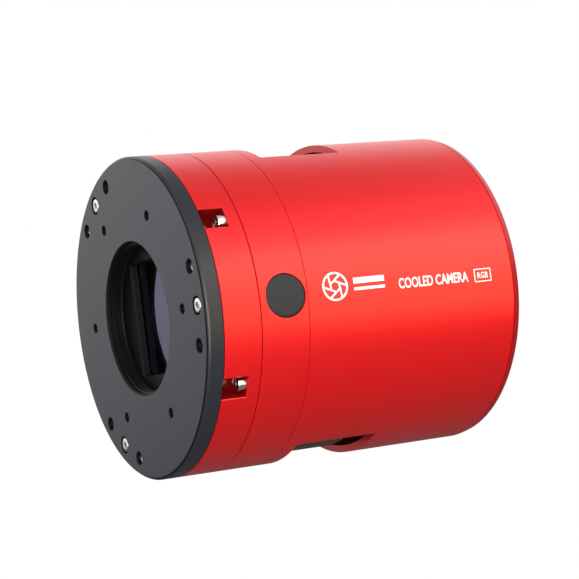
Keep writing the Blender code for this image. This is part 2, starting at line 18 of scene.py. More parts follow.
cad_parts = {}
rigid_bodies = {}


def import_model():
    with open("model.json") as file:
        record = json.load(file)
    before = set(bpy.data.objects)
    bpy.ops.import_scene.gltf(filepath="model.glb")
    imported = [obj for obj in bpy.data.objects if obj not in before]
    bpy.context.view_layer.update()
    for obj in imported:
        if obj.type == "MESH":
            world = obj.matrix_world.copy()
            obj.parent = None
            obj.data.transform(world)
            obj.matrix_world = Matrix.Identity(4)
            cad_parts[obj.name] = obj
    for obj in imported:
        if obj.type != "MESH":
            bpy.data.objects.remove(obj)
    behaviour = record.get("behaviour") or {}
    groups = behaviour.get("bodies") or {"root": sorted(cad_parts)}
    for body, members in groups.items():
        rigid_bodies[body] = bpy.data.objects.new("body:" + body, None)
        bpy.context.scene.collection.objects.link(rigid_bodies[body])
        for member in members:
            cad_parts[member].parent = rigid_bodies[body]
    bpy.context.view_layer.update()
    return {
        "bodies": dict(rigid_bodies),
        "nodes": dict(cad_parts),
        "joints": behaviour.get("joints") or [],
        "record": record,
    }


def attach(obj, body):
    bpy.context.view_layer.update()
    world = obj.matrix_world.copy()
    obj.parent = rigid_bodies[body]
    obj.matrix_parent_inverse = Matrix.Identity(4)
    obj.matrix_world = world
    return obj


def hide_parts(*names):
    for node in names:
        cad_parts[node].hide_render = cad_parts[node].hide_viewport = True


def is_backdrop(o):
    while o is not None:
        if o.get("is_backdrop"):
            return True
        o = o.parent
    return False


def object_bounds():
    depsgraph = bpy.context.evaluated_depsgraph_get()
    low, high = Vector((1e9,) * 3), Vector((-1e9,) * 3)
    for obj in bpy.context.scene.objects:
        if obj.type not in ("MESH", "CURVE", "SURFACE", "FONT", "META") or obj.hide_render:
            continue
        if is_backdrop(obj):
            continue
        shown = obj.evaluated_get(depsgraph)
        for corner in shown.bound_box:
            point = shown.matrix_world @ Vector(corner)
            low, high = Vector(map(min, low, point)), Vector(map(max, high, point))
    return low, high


log = logging.getLogger("camera")

MM = 0.001

# Sizes in millimetres and angles in degrees that several pieces share.
BODY_R = 45.0
PULLS = (0.0, 120.0, 240.0)
PULL_CIRCLE = 40.0
SIDE_TURN = 15.0
COVER_SCREWS = (45.0, 135.0, 195.0, 345.0)
COVER_CIRCLE = 38.2

# Steps round a full ring, and the angles above which edges stay sharp.
ROUND = 288
SMOOTH = 30.0
RING_SMOOTH = 25.0

Object = bpy.types.Object
Material = bpy.types.Material
Socket = bpy.types.NodeSocket
Radius = Union[float, Callable[[float], float]]
Profile = Sequence[tuple[Radius, float]]
Line = Sequence[tuple[float, float]]
Points = Sequence[tuple[float, float, float]]


class Body(Enum):
    """CAD bodies that pieces ride on."""

    PLATE = "plate"
    CAMERA = "camera"
    ROTOR = "rotor"
    PLUG = "plug"


class Way(Enum):
    """Ways of combining a piece with a tool shape."""

    CUT = "DIFFERENCE"
    JOIN = "UNION"


# ---------------------------------------------------------------------------- finishes


class Nodes:
    """Small wrapper that adds and links shader nodes."""

    def __init__(self, name: str) -> None:
        """Start an empty node material called name."""
        self.mat = bpy.data.materials.new(name)
        self.mat.use_nodes = True
        self.tree = self.mat.node_tree
        self.bsdf = self.tree.nodes["Principled BSDF"]
        self.out = self.tree.nodes["Material Output"]

    def add(self, kind: str, **values: object) -> bpy.types.Node:
        """Add a node.

        Args:
            kind: node type without the ShaderNode prefix.
            values: node attributes, or socket values by name.

        Returns:
            The new node.
        """
        node = self.tree.nodes.new("ShaderNode" + kind)
        for key, value in values.items():
            if hasattr(node, key):
                setattr(node, key, value)
            else:
                node.inputs[key.replace("_", " ")].default_value = value
        return node

    def link(self, a: Socket, b: Socket) -> None:
        """Link socket a to socket b."""
        self.tree.links.new(a, b)

    def coords(self, scale: Sequence[float]) -> Socket:
        """Object coordinates through a Mapping node of the given scale."""
        tex = self.add("TexCoord")
        mapping = self.add("Mapping")
        mapping.inputs["Scale"].default_value = scale
        self.link(tex.outputs["Object"], mapping.inputs["Vector"])
        return mapping.outputs["Vector"]

    def noise(self, scale: Sequence[float], detail: float = 4.0) -> Socket:
        """Noise factor stretched by the given per-axis scale in metres."""
        node = self.add("TexNoise", Scale=1.0, Detail=detail, Roughness=0.6)
        self.link(self.coords(scale), node.inputs["Vector"])
        return node.outputs["Fac"]

    def ramp(self, fac: Socket, low: float, high: float) -> Socket:
        """Map a 0 to 1 factor to the range low to high."""
        node = self.add("MapRange")
        node.inputs["To Min"].default_value = low
        node.inputs["To Max"].default_value = high
        self.link(fac, node.inputs["Value"])
        return node.outputs["Result"]

    def tinted(self, fac: Socket, colour: Sequence[float], low: float, high: float) -> Socket:
        """Colour that runs from low to high times its brightness with a factor."""
        node = self.add("MixRGB")
        for name, share in (("Color1", low), ("Color2", high)):
            node.inputs[name].default_value = rgba([min(1.0, c * share) for c in colour])
        self.link(fac, node.inputs["Fac"])
        return node.outputs["Color"]

    def bump(self, height: Socket, strength: float, distance: float) -> None:
        """Link a height to the shader's normal."""
        node = self.add("Bump", Strength=strength, Distance=distance)
        self.link(height, node.inputs["Height"])
        self.link(node.outputs["Normal"], self.bsdf.inputs["Normal"])

    def put(self, **values: object) -> None:
        """Set sockets of the Principled shader by name, with _ for a space."""
        for key, value in values.items():
            self.bsdf.inputs[key.replace("_", " ")].default_value = value


def rgba(colour: Sequence[float]) -> tuple[float, float, float, float]:
    """Colour with full alpha."""
    return (colour[0], colour[1], colour[2], 1.0)


@dataclass(frozen=True)
class TurnedMetal:
    """Anodised or bare metal with fine lathe lines round the optical axis."""

    name: str
    colour: tuple[float, float, float]
    roughness: float = 0.3
    metallic: float = 1.0
    lines: float = 0.05
    grain: float = 0.06
    coat: float = 0.0
    coat_roughness: float = 0.2
    specular: float = 0.5
    edge: tuple[float, float, float] = (1.0, 1.0, 1.0)

    def make(self) -> Material:
        """Build the material.

        Returns:
            The finished material.
        """
        n = Nodes(self.name)
        n.put(Metallic=self.metallic, Coat_Weight=self.coat, Coat_Roughness=self.coat_roughness)
        n.put(Specular_IOR_Level=self.specular, Specular_Tint=rgba(self.edge))
        blast = n.noise((4200.0, 4200.0, 4200.0), 3.0)
        cloud = n.noise((38.0, 38.0, 38.0), 2.0)
        turned = n.noise((14.0, 9000.0, 14.0), 2.0)
        n.link(n.tinted(cloud, self.colour, 0.94, 1.06), n.bsdf.inputs["Base Color"])
        low, high = self.roughness - self.grain, self.roughness + self.grain
        n.link(n.ramp(blast, low, high), n.bsdf.inputs["Roughness"])
        mix = n.add("Math", operation="ADD")
        n.link(blast, mix.inputs[0])
        n.link(turned, mix.inputs[1])
        n.bump(mix.outputs[0], self.lines, 0.00004)
        return n.mat


@dataclass(frozen=True)
class Moulded:
    """Moulded plastic, rubber, lacquer or ceramic with a fine speckle."""

    name: str
    colour: tuple[float, float, float]
    roughness: float = 0.5
    speckle: float = 0.15
    scale: float = 2500.0
    bump: float = 0.08
    specular: float = 0.5

    def make(self) -> Material:
        """Build the material.

        Returns:
            The finished material.
        """
        n = Nodes(self.name)
        n.put(Specular_IOR_Level=self.specular)
        fine = n.noise((self.scale,) * 3, 4.0)
        tint = n.tinted(fine, self.colour, 1 - self.speckle, 1 + self.speckle)
        n.link(tint, n.bsdf.inputs["Base Color"])
        n.link(n.ramp(fine, self.roughness - 0.06, self.roughness + 0.06), n.bsdf.inputs["Roughness"])
        n.bump(fine, self.bump, 0.00005)
        return n.mat


@dataclass(frozen=True)
class CoatedGlass:
    """Window glass whose anti-reflection coat gives a faint tinted mirror."""

    name: str
    mirror: tuple[float, float, float]
    share: float = 0.3
    roughness: float = 0.02

    def make(self) -> Material:
        """Build the material.

        Returns:
            The finished material.
        """
        n = Nodes(self.name)
        n.tree.nodes.remove(n.bsdf)
        clear = n.add("BsdfTransparent")
        clear.inputs["Color"].default_value = rgba((0.93, 0.94, 0.96))
        gloss = n.add("BsdfGlossy")
        gloss.inputs["Roughness"].default_value = self.roughness
        haze = n.noise((120.0, 120.0, 120.0), 2.0)
        n.link(n.tinted(haze, self.mirror, 1.0, 1.08), gloss.inputs["Color"])
        mix = n.add("MixShader")
        mix.inputs["Fac"].default_value = self.share
        n.link(clear.outputs[0], mix.inputs[1])
        n.link(gloss.outputs[0], mix.inputs[2])
        n.link(mix.outputs[0], n.out.inputs["Surface"])
        return n.mat


@dataclass(frozen=True)
class BoardLacquer:
    """Green solder lacquer over copper tracks that run in straight lines."""

    name: str
    dark: tuple[float, float, float] = (0.004, 0.045, 0.02)
    track: tuple[float, float, float] = (0.012, 0.12, 0.045)

    def make(self) -> Material:
        """Build the material.

        Returns:
            The finished material.
        """
        n = Nodes(self.name)
        cells = n.add("TexBrick", Scale=1.0)
        cells.inputs["Color1"].default_value = rgba(self.dark)
        cells.inputs["Color2"].default_value = rgba([c * 1.25 for c in self.dark])
        cells.inputs["Mortar"].default_value = rgba(self.track)
        cells.inputs["Mortar Size"].default_value = 0.0003
        cells.inputs["Brick Width"].default_value = 0.006
        cells.inputs["Row Height"].default_value = 0.0013
        turn = n.add("Mapping")
        turn.inputs["Rotation"].default_value = (math.pi / 2, 0.0, 0.0)
        tex = n.add("TexCoord")
        n.link(tex.outputs["Object"], turn.inputs["Vector"])
        n.link(turn.outputs["Vector"], cells.inputs["Vector"])
        n.link(cells.outputs["Color"], n.bsdf.inputs["Base Color"])
        fine = n.noise((900.0,) * 3, 2.0)
        n.link(n.ramp(fine, 0.28, 0.4), n.bsdf.inputs["Roughness"])
        n.bump(cells.outputs["Fac"], 0.2, 0.00003)
        return n.mat


def look(finish: Union[TurnedMetal, Moulded, CoatedGlass, BoardLacquer]) -> Material:
    """Field whose material is built together with the set of finishes."""
    return field(default_factory=finish.make)


@dataclass
class Finishes:
    """All finishes of the object, built once; the darker reds and the near-black stand for painted shade."""

    red: Material = look(
        TurnedMetal(
            "red_anodised_look",
            (0.77, 0.005, 0.008),
            0.42,
            metallic=0.5,
            coat=0.86,
            coat_roughness=0.31,
            edge=(1.0, 0.06, 0.07),
            specular=0.25,
        )
    )
    black: Material = look(
        TurnedMetal(
            "black_anodised_look", (0.018, 0.02, 0.027), 0.36, metallic=0.0, grain=0.05, specular=0.34
        )
    )
    # Darker copy of the red anodising: painted shade on the vent window walls and the rear edge.
    wall_shade_red: Material = look(
        TurnedMetal("cut_red_look", (0.5, 0.003, 0.006), 0.4, metallic=0.5, coat=0.3)
    )
    # Darker copy of the red anodising: painted shade inside the front ring's slots.
    slot_shade_red: Material = look(
        TurnedMetal("deep_red_look", (0.3, 0.002, 0.004), 0.4, metallic=0.5, coat=0.5)
    )
    # Near-black, darker than the black anodising: painted shade in holes, bore, chamfer and deep inside; on
    # the bezel it is its own black with painted shade.
    black_and_shade: Material = look(
        TurnedMetal(
            "throat_black_look", (0.004, 0.004, 0.0046), 0.5, metallic=0.0, grain=0.05, specular=0.12
        )
    )
    plug: Material = look(Moulded("plug_grey_look", (0.019, 0.023, 0.029), 0.5, 0.08, 4000.0, 0.05, 0.25))
    steel: Material = look(TurnedMetal("bright_steel_look", (0.78, 0.77, 0.75), 0.16, grain=0.04))
    dark_steel: Material = look(TurnedMetal("dark_steel_look", (0.05, 0.05, 0.052), 0.35))
    sink: Material = look(TurnedMetal("sink_black_look", (0.02, 0.02, 0.022), 0.38, metallic=0.5))
    window: Material = look(CoatedGlass("window_coat_look", (0.46, 0.45, 0.66), 0.3))
    cover_glass: Material = look(CoatedGlass("sensor_glass_look", (0.3, 0.5, 0.45), 0.1))
    rubber: Material = look(Moulded("seal_rubber_look", (0.014, 0.014, 0.014), 0.75))
    ceramic: Material = look(Moulded("ceramic_look", (0.74, 0.73, 0.69), 0.55, 0.04))
    die: Material = look(TurnedMetal("sensor_die_look", (0.06, 0.09, 0.16), 0.18, metallic=0.7))
    package: Material = look(Moulded("package_look", (0.09, 0.075, 0.065), 0.55, 0.1))
    board: Material = look(BoardLacquer("board_look"))
    chip: Material = look(Moulded("chip_look", (0.018, 0.018, 0.019), 0.5, 0.2))
    copper: Material = look(TurnedMetal("copper_look", (0.72, 0.36, 0.2), 0.28))
    gold: Material = look(TurnedMetal("contact_gold_look", (0.85, 0.6, 0.22), 0.25))
    foam: Material = look(Moulded("foam_look", (0.1, 0.1, 0.1), 0.9, 0.3, 900.0, 0.5))
    fan: Material = look(Moulded("fan_plastic_look", (0.016, 0.016, 0.017), 0.48))
    blue: Material = look(Moulded("socket_blue_look", (0.015, 0.1, 0.5), 0.42))
    shell: Material = look(TurnedMetal("socket_shell_look", (0.72, 0.72, 0.72), 0.24))
    socket: Material = look(Moulded("socket_black_look", (0.018, 0.018, 0.019), 0.45))
    desiccant: Material = look(Moulded("desiccant_look", (0.78, 0.78, 0.74), 0.9, 0.06, 700.0, 0.4))
    heater: Material = look(Moulded("heater_film_look", (0.5, 0.24, 0.03), 0.4, 0.12))
    mark: Material = look(Moulded("white_print_look", (0.86, 0.86, 0.86), 0.5, 0.02))


# ------------------------------------------------------------------------- mesh helpers


def radius_at(radius: Radius, angle: float) -> float:
    """Radius at an angle, for a plain number or a function."""
    if callable(radius):
        return radius(angle)
    return radius


def hexagon(flat: float) -> Callable[[float], float]:
    """Radius function of a hexagon with the given distance from centre to flat."""

    def radius(angle: float) -> float:
        """Radius of the hexagon at an angle."""
        part = math.fmod(angle, math.pi / 3) - math.pi / 6
        return flat / math.cos(part)

    return radius


def ribbed(radius: float, count: int, depth: float) -> Callable[[float], float]:
    """Radius function with ribs, as on a knurled head."""

    def wave(angle: float) -> float:
        """Radius at an angle."""
        return radius - depth * (0.5 - 0.5 * math.cos(count * angle)) ** 0.6

    return wave


def thread_rows(
    radius: float, depth: float, pitch: float, y0: float, y1: float, rows: int
) -> list[tuple[Radius, float]]:
    """Profile points of a helical thread.

    Args:
        radius: radius of the mean surface, mm.
        depth: full depth, added outwards (negative goes inwards), mm.
        pitch: distance between ridges, mm.
        y0: start along the axis, mm.
        y1: end along the axis, mm.
        rows: rows of points for each pitch.

    Returns:
        Profile points from y0 to y1.
    """
    steps = max(2, int(abs(y1 - y0) / pitch * rows))
    points: list[tuple[Radius, float]] = []
    for i in range(steps + 1):
        y = y0 + (y1 - y0) * i / steps
        fade = min(1.0, 4.0 * i / steps, 4.0 * (steps - i) / steps)

        def flank(angle: float, y: float = y, fade: float = fade) -> float:
            """Radius on the helix at an angle."""
            phase = (y / pitch - angle / (2 * math.pi)) % 1.0
            tooth = 1.0 - abs(2.0 * phase - 1.0)
            return radius + depth * fade * min(1.0, max(0.0, 1.4 * tooth - 0.2))

        points.append((flank, y))
    return points


class Shape:
    """A mesh under construction, in millimetres, with the optical axis along Y."""

    def __init__(self) -> None:
        """Start an empty shape."""
        self.bm = bmesh.new()

    def turn(self, profile: Profile, n: int, place: Matrix | None = None) -> "Shape":
        """Revolve a closed profile about Y.

        Args:
            profile: (radius, y) points; a radius of 0 makes a pole.
            n: steps round the axis.
            place: matrix in metres that moves the result.

        Returns:
            This shape.
        """
        rings: list[list[bmesh.types.BMVert]] = []
        for radius, y in profile:
            if not callable(radius) and radius <= 1e-9:
                rings.append([self.bm.verts.new((0.0, y * MM, 0.0))])
                continue
            ring = []
            for k in range(n):
                a = 2 * math.pi * k / n
                r = radius_at(radius, a) * MM
                ring.append(self.bm.verts.new((r * math.cos(a), y * MM, r * math.sin(a))))
            rings.append(ring)
        for i, ring in enumerate(rings):
            nxt = rings[(i + 1) % len(rings)]
            if len(ring) == 1 and len(nxt) == 1:
                continue
            for k in range(n):
                j = (k + 1) % n
                if len(ring) == 1:
                    self.bm.faces.new((ring[0], nxt[k], nxt[j]))
                elif len(nxt) == 1:
                    self.bm.faces.new((ring[k], nxt[0], ring[j]))
                else:
                    self.bm.faces.new((ring[k], nxt[k], nxt[j], ring[j]))
        if place is not None:
            verts = [v for ring in rings for v in ring]
            bmesh.ops.transform(self.bm, matrix=place, verts=verts)
        return self

    def rod(self, r: float, y0: float, y1: float, n: int, place: Matrix | None = None) -> "Shape":
        """Add a plain cylinder of radius r from y0 to y1, in mm."""
        return self.turn([(0.0, y0), (r, y0), (r, y1), (0.0, y1)], n, place)

    def loft(self, loops: Sequence[Sequence[Vector]]) -> "Shape":
        """Skin a row of equal loops and cap both ends.

        Args:
            loops: loops of points in metres.

        Returns:
            This shape.
        """
        rows = [[self.bm.verts.new(p) for p in loop] for loop in loops]
        count = len(rows[0])
        for a, b in zip(rows, rows[1:]):
            for k in range(count):
                j = (k + 1) % count
                self.bm.faces.new((a[k], a[j], b[j], b[k]))
        self.bm.faces.new(rows[0])
        self.bm.faces.new(list(reversed(rows[-1])))
        return self

    def prism(self, outlines: Sequence[tuple[Line, float]], degrees: float = 0.0) -> "Shape":
        """Stack (x, z) outlines along Y.

        Args:
            outlines: pairs of an outline in mm and its y in mm.
            degrees: turn about the optical axis.

        Returns:
            This shape.
        """
        turn = spin(degrees)
        return self.loft([[turn @ mm(x, y, z) for x, z in line] for line, y in outlines])

    def plate(self, outline: Line, y0: float, y1: float, ch: float) -> "Shape":
        """Extrude an (x, z) outline with a small chamfer at both ends."""
        small = shrink(outline, ch)
        return self.prism([(small, y0), (outline, y0 + ch), (outline, y1 - ch), (small, y1)])

    def done(self, name: str, mat: Material | None, angle: float = SMOOTH) -> Object:
        """Close the shape into an object.

        Args:
            name: object name.
            mat: material, or None.
            angle: edges sharper than this many degrees stay sharp.

        Returns:
            The object, at the origin.
        """
        bmesh.ops.recalc_face_normals(self.bm, faces=self.bm.faces)
        mesh = bpy.data.meshes.new(name)
        self.bm.to_mesh(mesh)
        self.bm.free()
        ob = bpy.data.objects.new(name, mesh)
        bpy.context.scene.collection.objects.link(ob)
        if mat is not None:
            mesh.materials.append(mat)
        shade(mesh, angle)
        return ob


def shade(mesh: bpy.types.Mesh, angle: float) -> None:
    """Smooth shading with sharp edges above an angle in degrees."""
    for poly in mesh.polygons:
        poly.use_smooth = True
    mesh.set_sharp_from_angle(angle=math.radians(angle))


def shrink(outline: Line, by: float) -> list[tuple[float, float]]:
    """Outline moved inwards by a small distance along its corner normals."""
    count = len(outline)
    area = 0.0
    for i in range(count):
        x0, z0 = outline[i]
        x1, z1 = outline[(i + 1) % count]
        area += x0 * z1 - x1 * z0
    sign = 1.0 if area > 0 else -1.0
    result = []
    for i in range(count):
        before = Vector(outline[i]) - Vector(outline[i - 1])
        after = Vector(outline[(i + 1) % count]) - Vector(outline[i])
        if before.length < 1e-9 or after.length < 1e-9:
            result.append(outline[i])
            continue
        n1 = Vector((-before.y, before.x)).normalized() * sign
        n2 = Vector((-after.y, after.x)).normalized() * sign
        mean = n1 + n2
        mean = mean / max(0.3, mean.length_squared / 2)
        result.append((outline[i][0] + mean.x * by, outline[i][1] + mean.y * by))
    return result


def round_rect(
    w: float, h: float, r: float, steps: int = 8, cx: float = 0.0, cz: float = 0.0
) -> list[tuple[float, float]]:
    """Outline of a rectangle with round corners.

    Args:
        w: width, mm.
        h: height, mm.
        r: corner radius, mm.
        steps: steps in each corner.
        cx: centre, mm.
        cz: centre, mm.

    Returns:
        Points in order.
    """
    points = []
    for sx, sz, start in ((1, 1, 0.0), (-1, 1, 90.0), (-1, -1, 180.0), (1, -1, 270.0)):
        for k in range(steps + 1):
            a = math.radians(start + 90.0 * k / steps)
            x = cx + sx * (w / 2 - r) + r * math.cos(a)
            z = cz + sz * (h / 2 - r) + r * math.sin(a)
            points.append((x, z))
    return points


def rect(x0: float, x1: float, z0: float, z1: float) -> list[tuple[float, float]]:
    """Outline of a plain rectangle."""
    return [(x0, z0), (x1, z0), (x1, z1), (x0, z1)]


def polar(radius: float, degrees: float) -> tuple[float, float]:
    """(x, z) of a point on a circle about the optical axis."""
    a = math.radians(degrees)
    return radius * math.cos(a), radius * math.sin(a)


def around(radius: float, angles: Iterable[float]) -> list[tuple[float, float, float]]:
    """Points in mm on a circle about the optical axis, at angles in degrees."""
    spots = [polar(radius, a) for a in angles]
    return [(x, 0.0, z) for x, z in spots]


def corners(half: float) -> list[tuple[float, float, float]]:
    """Corner points in mm of a square about the optical axis."""
    return [(sx * half, 0.0, sz * half) for sx in (-1, 1) for sz in (-1, 1)]


def full_turn(count: int) -> list[float]:
    """Angles in radians of a full turn in equal steps."""
    return [2 * math.pi * k / count for k in range(count)]


def mm(x: float, y: float, z: float) -> Vector:
    """Point in metres from millimetres."""
    return Vector((x * MM, y * MM, z * MM))


def at(x: float, z: float) -> Matrix:
    """Matrix that moves across the optical axis by millimetres."""
    return Matrix.Translation(mm(x, 0.0, z))


def spin(degrees: float) -> Matrix:
    """Matrix that turns +X towards +Z about the optical axis."""
    return Matrix.Rotation(-math.radians(degrees), 4, "Y")


def along_x(y: float) -> Matrix:
    """Matrix that lays a turned shape along +X at a y in millimetres."""
    return Matrix.Translation((0.0, y * MM, 0.0)) @ Matrix.Rotation(-math.pi / 2, 4, "Z")


def settle(ob: Object) -> None:
    """Replace an object's mesh by its evaluated one and drop the modifiers."""
    graph = bpy.context.evaluated_depsgraph_get()
    graph.update()
    mesh = bpy.data.meshes.new_from_object(ob.evaluated_get(graph))
    ob.modifiers.clear()
    old = ob.data
    ob.data = mesh
    mesh.name = ob.name
    bpy.data.meshes.remove(old)


def combine(ob: Object, tool: Union[Object, Shape], way: Way, angle: float = SMOOTH) -> None:
    """Cut or join a tool shape into a piece and remove the tool.

    Args:
        ob: piece that is changed.
        tool: closed shape, or an object made of one.
        way: cut or join.
        angle: smoothing angle in degrees afterwards.
    """
    if isinstance(tool, Shape):
        tool = tool.done("tool", None)
    mod = ob.modifiers.new("combine", "BOOLEAN")
    mod.operation = way.value
    mod.solver = "EXACT"
    mod.object = tool
    settle(ob)
    bpy.data.objects.remove(tool, do_unlink=True)
    shade(ob.data, angle)


def repaint(ob: Object, mat: Material, test: Callable[[Vector, Vector], bool]) -> None:
    """Give the faces of a piece that pass a test another material.

    Args:
        ob: piece that is changed.
        mat: material for the chosen faces.
        test: takes the face centre in mm and its normal.
    """
    ob.data.materials.append(mat)
    index = len(ob.data.materials) - 1
    for poly in ob.data.polygons:
        if test(poly.center / MM, poly.normal):
            poly.material_index = index


def true_round(ob: Object, radii: Iterable[float]) -> None:
    """Give the faces on the given cylinders exact round normals.

    Args:
        ob: piece whose axis is the optical axis.
        radii: cylinder radii in mm.
    """
    mesh = ob.data
    normals: list[Vector] = [Vector(n.vector) for n in mesh.corner_normals]
    wanted = [r * MM for r in radii]
    for poly in mesh.polygons:
        flat = Vector((poly.center.x, 0.0, poly.center.z))
        if flat.length < 1e-6 or abs(poly.normal.y) > 0.02:
            continue
        if abs(poly.normal.dot(flat.normalized())) < 0.99:
            continue
        side = 1.0 if poly.normal.dot(flat) > 0 else -1.0
        for loop_index in poly.loop_indices:
            co = mesh.vertices[mesh.loops[loop_index].vertex_index].co
            out = Vector((co.x, 0.0, co.z))
            if any(abs(out.length - r) < 4e-5 for r in wanted):
                normals[loop_index] = out.normalized() * side
    mesh.normals_split_custom_set([tuple(n) for n in normals])


class CopyTree:
    """Geometry Nodes tree that puts copies of one object on the points of a mesh."""

    def __init__(self) -> None:
        """Build the node group with named inputs."""
        tree = bpy.data.node_groups.new("copies_on_points", "GeometryNodeTree")
        face = tree.interface
        face.new_socket("Geometry", in_out="INPUT", socket_type="NodeSocketGeometry")
        kinds = {"Source": "Object", "Size": "Vector", "Turn": "Float", "Vary": "Float"}
        kinds["Material"] = "Material"
        self.key: dict[str, str] = {}
        for name, kind in kinds.items():
            socket = face.new_socket(name, in_out="INPUT", socket_type="NodeSocket" + kind)
            self.key[name] = socket.identifier
        face.new_socket("Geometry", in_out="OUTPUT", socket_type="NodeSocketGeometry")
        add = tree.nodes.new
        start, end = add("NodeGroupInput"), add("NodeGroupOutput")
        info = add("GeometryNodeObjectInfo")
        copies = add("GeometryNodeInstanceOnPoints")
        real = add("GeometryNodeRealizeInstances")
        paint = add("GeometryNodeSetMaterial")
        chance = add("FunctionNodeRandomValue")
        chance.data_type = "FLOAT"
        chance.inputs["Seed"].default_value = 7
        low = add("ShaderNodeMath")
        low.operation = "SUBTRACT"
        low.inputs[0].default_value = 1.0
        scale = add("ShaderNodeVectorMath")
        scale.operation = "SCALE"
        angle = add("ShaderNodeCombineXYZ")
        link = tree.links.new
        link(start.outputs["Geometry"], copies.inputs["Points"])
        link(start.outputs["Source"], info.inputs["Object"])
        link(info.outputs["Geometry"], copies.inputs["Instance"])
        link(start.outputs["Vary"], low.inputs[1])
        link(low.outputs[0], chance.inputs[2])
        chance.inputs[3].default_value = 1.0
        link(start.outputs["Size"], scale.inputs[0])
        link(chance.outputs[1], scale.inputs["Scale"])
        link(scale.outputs[0], copies.inputs["Scale"])
        link(start.outputs["Turn"], angle.inputs["Y"])
        link(angle.outputs[0], copies.inputs["Rotation"])
        link(copies.outputs[0], real.inputs[0])
        link(real.outputs[0], paint.inputs["Geometry"])
        link(start.outputs["Material"], paint.inputs["Material"])
        link(paint.outputs["Geometry"], end.inputs[0])
        self.tree = tree

    def spread(
        self,
        name: str,
        source: Object,
        points: Points,
        mat: Material | None,
        size: tuple[float, float, float] = (1.0, 1.0, 1.0),
        turn: float = 0.0,
        vary: float = 0.0,
        angle: float = SMOOTH,
    ) -> Object:
        """Place copies of a source and return them as one plain mesh.

        Args:
            name: name of the result.
            source: object that is copied; it is removed afterwards.
            points: positions in mm.
            mat: material of the result.
            size: scale of every copy along X, Y and Z.
            turn: turn of every copy about the optical axis, degrees.
            vary: share of the size that changes from copy to copy.
            angle: smoothing angle in degrees.

        Returns:
            The finished object at the origin.
        """
        mesh = bpy.data.meshes.new(name)
        mesh.from_pydata([mm(*point) for point in points], [], [])
        ob = bpy.data.objects.new(name, mesh)
        bpy.context.scene.collection.objects.link(ob)
        mod = ob.modifiers.new("copies", "NODES")
        mod.node_group = self.tree
        mod[self.key["Source"]] = source
        mod[self.key["Size"]] = size
        mod[self.key["Turn"]] = -math.radians(turn)
        mod[self.key["Vary"]] = vary
        mod[self.key["Material"]] = mat
        settle(ob)
        bpy.data.objects.remove(source, do_unlink=True)
        if mat is not None and not ob.data.materials:
            ob.data.materials.append(mat)
        shade(ob.data, angle)
        return ob


def drill_at(
    ob: Object,
    copies: CopyTree,
    profile: Profile,
    n: int,
    points: Points,
    angle: float = SMOOTH,
) -> None:
    """Cut one kind of turned hole into a piece at several points.

    Args:
        ob: piece that is changed.
        copies: tree that places the cutters.
        profile: (radius, y) points of the cutter, mm.
        n: steps round the cutter.
        points: places of the holes, mm.
        angle: smoothing angle in degrees afterwards.
    """
    tool = Shape().turn(profile, n).done("tool", None)
    combine(ob, copies.spread("cut", tool, points, None), Way.CUT, angle)


def merge(name: str, parts: Sequence[Object]) -> Object:
    """Join several objects into one mesh that keeps their materials.

    Args:
        name: name of the result.
        parts: objects at the origin; they are removed.

    Returns:
        The joined object.
    """
    bm = bmesh.new()
    mats: list[Material] = []
    for part in parts:
        first = len(bm.faces)
        bm.from_mesh(part.data)
        bm.faces.ensure_lookup_table()
        slots = []
        for mat in part.data.materials:
            if mat not in mats:
                mats.append(mat)
            slots.append(mats.index(mat))
        for face in bm.faces[first:]:
            index = min(face.material_index, len(slots) - 1)
            face.material_index = slots[index] if slots else 0
    mesh = bpy.data.meshes.new(name)
    bm.to_mesh(mesh)
    bm.free()
    for mat in mats:
        mesh.materials.append(mat)
    for part in parts:
        bpy.data.objects.remove(part, do_unlink=True)
    ob = bpy.data.objects.new(name, mesh)
    bpy.context.scene.collection.objects.link(ob)
    return ob


def fit(ob: Object, body: Body, slot: str, nodes: Iterable[str]) -> None:
    """Tie a piece to its body and hide the CAD nodes it stands for.

    Args:
        ob: finished piece.
        body: body that it rides on.
        slot: not used.
        nodes: CAD nodes that it replaces.
    """
    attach(ob, body.value)
    names = list(nodes)
    if names:
        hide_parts(*names)
    log.info("%s: %d faces, rides on %s", ob.name, len(ob.data.polygons), body.value)


def numbered(stem: str, count: int) -> list[str]:
    """Names stem_1 to stem_count."""
    return [f"{stem}_{i + 1}" for i in range(count)]


# ------------------------------------------------------------------------------- screws


@dataclass
class CapScrew:
    """Socket cap screw along Y with its head towards -Y, drawn at x = z = 0."""

    head_y: float
    head_len: float
    head_r: float
    shaft_r: float
    tip: float
    flat: float
    socket: float
    pitch: float = 0.45
    ribs: int = 28

    def shape(self) -> Object:
        """Build one screw at the origin.

        Returns:
            The screw without a material.
        """
        y, r = self.head_y, self.head_r
        profile: list[tuple[Radius, float]] = [
            (0.0, y + self.socket + 0.2),
            (hexagon(self.flat * 0.93), y + self.socket),
            (hexagon(self.flat), y + self.socket - 0.05),
            (hexagon(self.flat), y + 0.1),
            (hexagon(self.flat + 0.1), y),
            (r - 0.32, y),
            (r - 0.12, y + 0.06),
            (r, y + 0.25),
            (ribbed(r, self.ribs, 0.07), y + 0.45),
            (ribbed(r, self.ribs, 0.07), y + self.head_len - 0.15),
            (r - 0.12, y + self.head_len),
            (self.shaft_r, y + self.head_len),
        ]
        start = y + self.head_len + 0.3
        depth = -0.16 * self.shaft_r
        profile += thread_rows(self.shaft_r, depth, self.pitch, start, self.tip - 0.3, 4)
        profile += [(self.shaft_r * 0.7, self.tip), (0.0, self.tip)]
        return Shape().turn(profile, 72).done("screw", None, 35.0)


